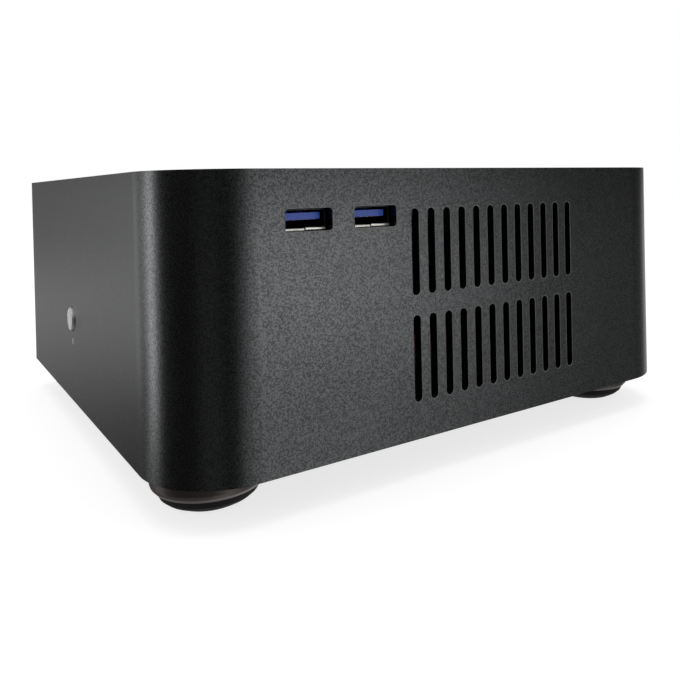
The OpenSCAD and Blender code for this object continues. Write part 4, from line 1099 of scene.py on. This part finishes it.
class Sight:
    """What the camera sees of the finished object."""

    def __init__(self, viewpoint: Viewpoint) -> None:
        """Reads every finished piece into one tree.

        Args:
            viewpoint: The photograph's camera.
        """
        self.viewpoint = viewpoint
        self.eye = Vector(viewpoint.place)
        self.vertices: dict[str, list[Vector]] = {}
        graph = bpy.context.evaluated_depsgraph_get()
        everywhere: list[Vector] = []
        faces: list[list[int]] = []
        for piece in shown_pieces():
            shown = piece.evaluated_get(graph)
            mesh = shown.to_mesh()
            start = len(everywhere)
            placed = [shown.matrix_world @ v.co for v in mesh.vertices]
            everywhere += placed
            faces += [[start + i for i in p.vertices] for p in mesh.polygons]
            self.vertices[piece.name] = placed
            shown.to_mesh_clear()
        self.tree = BVHTree.FromPolygons(everywhere, faces)

    def shows(self, point: Vector) -> bool:
        """Tells whether nothing stands between the camera and a point.

        Args:
            point: A point on the object.

        Returns:
            True where it is in view.
        """
        way = point - self.eye
        hit = self.tree.ray_cast(self.eye, way.normalized())
        return hit[0] is None or hit[3] > way.length - GRAZE

    def meet(self, x: float, y: float) -> tuple[Vector, Vector]:
        """Finds the place and normal of the surface that a pixel shows.

        Args:
            x: The pixel's x in the photograph's frame.
            y: Its y.

        Returns:
            The place and the surface's normal; where the ray misses, those nearest to it.
        """
        way = self.viewpoint.ray(x, y)
        place, normal, _, _ = self.tree.ray_cast(self.eye, way)
        if place is None:
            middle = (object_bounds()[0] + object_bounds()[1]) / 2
            place, normal, _, _ = self.tree.find_nearest(self.eye + way * (middle - self.eye).dot(way))
        return place, normal

    def measure(self, features: Mapping[str, Feature]) -> dict[str, list[Optional[float]]]:
        """Measures how far each feature shows from its image point.

        Args:
            features: The image points.

        Returns:
            For each one, the distance in x and in y in pixels, or None where it isn't measured.
        """
        everything = [p for placed in self.vertices.values() for p in placed if self.shows(p)]
        found: dict[str, list[Optional[float]]] = {}
        for name, feature in features.items():
            points = everything
            if feature.node:
                points = [p for p in self.vertices[feature.node] if feature.near(p) and self.shows(p)]
            pixels = [self.viewpoint.pixel(p) for p in points]
            found[name] = [None, None]
            for i, (wanted, edge) in enumerate(((feature.x, feature.edge_x), (feature.y, feature.edge_y))):
                if wanted is not None and pixels:
                    low, high = (end(p[i] for p in pixels) for end in (min, max))
                    found[name][i] = round(low + (high - low) * edge.value - wanted, 2)
        return found


# --------------------------------------------------------------------------------------------
# Studio
# --------------------------------------------------------------------------------------------


@dataclass(frozen=True)
class Lamp:
    """One soft panel of light, aimed at the middle of the object; angles are from +Y towards +X."""

    name: str
    azimuth: float
    elevation: float
    distance: float
    width: float
    height: float
    strength: float
    aim: Point = (0.0, 0.0, 0.045)

    def build(self) -> bpy.types.Object:
        """Hangs the lamp.

        Returns:
            The lamp.
        """
        data = bpy.data.lights.new(self.name, "AREA")
        data.shape = "RECTANGLE"
        data.size, data.size_y = self.width, self.height
        data.energy = self.strength * self.width * self.height * math.pi
        lamp = bpy.data.objects.new(self.name, data)
        turn, rise = math.radians(self.azimuth), math.radians(self.elevation)
        away = Vector((math.sin(turn) * math.cos(rise), math.cos(turn) * math.cos(rise), math.sin(rise)))
        lamp.location = Vector(self.aim) + away * self.distance
        lamp.rotation_euler = (-away).to_track_quat("-Z", "Y").to_euler()
        lamp.visible_camera = lamp.visible_glossy = False
        bpy.context.scene.collection.objects.link(lamp)
        return lamp


@dataclass(frozen=True)
class Screen:
    """One pale screen that stands round the table, as metal shows it: angles are from +Y towards +X.

    It fades out above top, and below table it keeps only its low share: both are pairs of sines of the
    height, between which the change runs.
    """

    azimuth: float
    half_width: float
    light: float
    low: float = 0.5
    top: Pair = (-0.1, 0.1)
    edge: float = 6.0
    table: Pair = (-0.26, -0.13)

    def shade(self, bearing: Value, up: Value) -> Value:
        """Gives the screen's light in each direction.

        Args:
            bearing: The direction in degrees.
            up: The sine of its height.

        Returns:
            The light.
        """
        off = abs(bearing - self.azimuth)
        width = 1.0 - off.step(self.half_width - self.edge, self.half_width + self.edge)
        height = up.step(*self.table) * (1.0 - self.low) + self.low - up.step(*self.top)
        return width * height.held() * self.light


LAMPS: tuple[Lamp, ...] = (
    Lamp("panel_above", 0.0, 88.0, 1.4, 1.3, 1.3, 1.9),
)
SCREENS: tuple[Screen, ...] = (
    Screen(-140.0, 14.0, 0.13, 1.0),
    Screen(-59.2, 6.0, 6.8, 0.0, (0.0, 0.15), table=(-0.38, -0.2)),
    Screen(-46.0, 7.0, 1.3, 0.3, (0.0, 0.15)),
    Screen(-25.0, 9.0, 0.97, 0.1, (0.0, 0.15), table=(-0.31, -0.18)),
    Screen(-6.0, 7.0, 0.25, 0.0, (-0.14, -0.04)),
    Screen(20.0, 20.0, 0.5, 1.0),
    Screen(62.0, 26.0, 0.75, 0.8),
    Screen(108.0, 22.0, 0.16, 1.0),
    Screen(153.0, 13.5, 3.6, 0.36),
    Screen(179.0, 9.0, 0.8, 1.0),
)


@dataclass(frozen=True)
class Studio:
    """The plain pale floor, the pale screens round it and the lamps."""

    lamps: Sequence[Lamp] = LAMPS
    screens: Sequence[Screen] = SCREENS
    floor_size: float = 12.0
    floor_shade: float = 0.8
    floor_rough: float = 0.9
    floor_shine: float = 0.1
    # To the camera, this share of the floor is a white of this strength, so that it shows as white.
    floor_glow: float = 0.5
    floor_white: float = 1.52
    # The even light on matt surfaces, then what metal sees: between the screens, above and far below, with
    # edges that are sines of the height.
    room_light: float = 0.6
    gap_light: float = 0.05
    ceiling_light: float = 1.0
    ceiling_edge: Pair = (0.2, 0.55)
    table_light: float = 0.4
    table_edge: Pair = (0.5, 0.8)

    def around(self, nodes: Nodes, where: Value) -> Value:
        """Gives the light that metal and glass see in each direction round the object.

        Args:
            nodes: The tree that it is written in.
            where: The direction from the object.

        Returns:
            The light, as a grey colour.
        """
        x, y, up = nodes.split(where)
        bearing = x.bearing(y)
        first, *rest = [screen.shade(bearing, up) for screen in self.screens]
        ceiling, table = up.step(*self.ceiling_edge), (0.0 - up).step(*self.table_edge)
        light = sum(rest, first) + ceiling * self.ceiling_light + table * self.table_light + self.gap_light
        return nodes.add("ShaderNodeCombineXYZ", None, {i: light for i in range(3)})

    def build_floor(self) -> bpy.types.Object:
        """Lays the floor: white to the camera but for the object's shadow, and clear to metal and glass.

        Returns:
            The floor.
        """
        half = self.floor_size / 2
        sheet = [(-half, -half, 0), (half, -half, 0), (half, half, 0), (-half, half, 0)]
        mesh = bpy.data.meshes.new("floor")
        mesh.from_pydata(sheet, [], [(0, 1, 2, 3)])
        floor = bpy.data.objects.new("floor", mesh)
        bpy.context.scene.collection.objects.link(floor)
        r = Recipe("pale_floor")
        r.finish(base_color=(self.floor_shade,) * 3, roughness=self.floor_rough,
                 specular_ior_level=self.floor_shine)
        white = r.node("ShaderNodeEmission", None, {"Color": WHITE, "Strength": self.floor_white})
        clear = r.node("ShaderNodeBsdfTransparent")
        shown = r.choose(r.seen_by("Is Camera Ray") * self.floor_glow, r.shader.outputs[0], white.outputs[0])
        shown = r.choose(r.seen_by("Is Glossy Ray", "Is Transmission Ray"), shown, clear.outputs[0])
        r.fill(r.output.inputs["Surface"], shown)
        r.material.cycles.emission_sampling = "NONE"
        floor.data.materials.append(r.material)
        floor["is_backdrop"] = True
        return floor

    def build_room(self) -> bpy.types.World:
        """Makes the world: white to the camera, screens to metal and glass, even light to the rest.

        Returns:
            The world.
        """
        world = bpy.data.worlds.new("pale_room")
        world.use_nodes = True
        world.cycles.sampling_method = "NONE"
        n = Nodes(world.node_tree)
        where = n.add("ShaderNodeTexCoord", None, None, "Generated")
        seen = ((self.room_light,) * 3, self.around(n, where), WHITE)
        even, screens, white = (n.node("ShaderNodeBackground", None, {"Color": c}).outputs[0] for c in seen)
        shown = n.choose(n.seen_by("Is Glossy Ray", "Is Transmission Ray"), even, screens)
        shown = n.choose(n.seen_by("Is Camera Ray"), shown, white)
        n.node("ShaderNodeOutputWorld", None, {"Surface": shown})
        bpy.context.scene.world = world
        return world

    def build(self) -> None:
        """Builds the whole studio."""
        self.build_floor()
        self.build_room()
        for lamp in self.lamps:
            lamp.build()
        bpy.context.scene.view_settings.view_transform = "Standard"


# --------------------------------------------------------------------------------------------
# Building
# --------------------------------------------------------------------------------------------


def main() -> None:
    """Builds the scene in order and reports each piece."""
    logging.basicConfig(level=logging.INFO, format="%(message)s")
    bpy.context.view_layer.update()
    viewpoint = Viewpoint()
    viewpoint.build()
    dresser = Dresser(FINISHES)
    dresser.dress_frame()
    SlotTrim().build(dresser)
    SocketTrim().build(dresser)
    Studio().build()
    bpy.context.view_layer.update()
    sight = Sight(viewpoint)
    sight.measure(FEATURES)


if __name__ == "__main__":
    main()
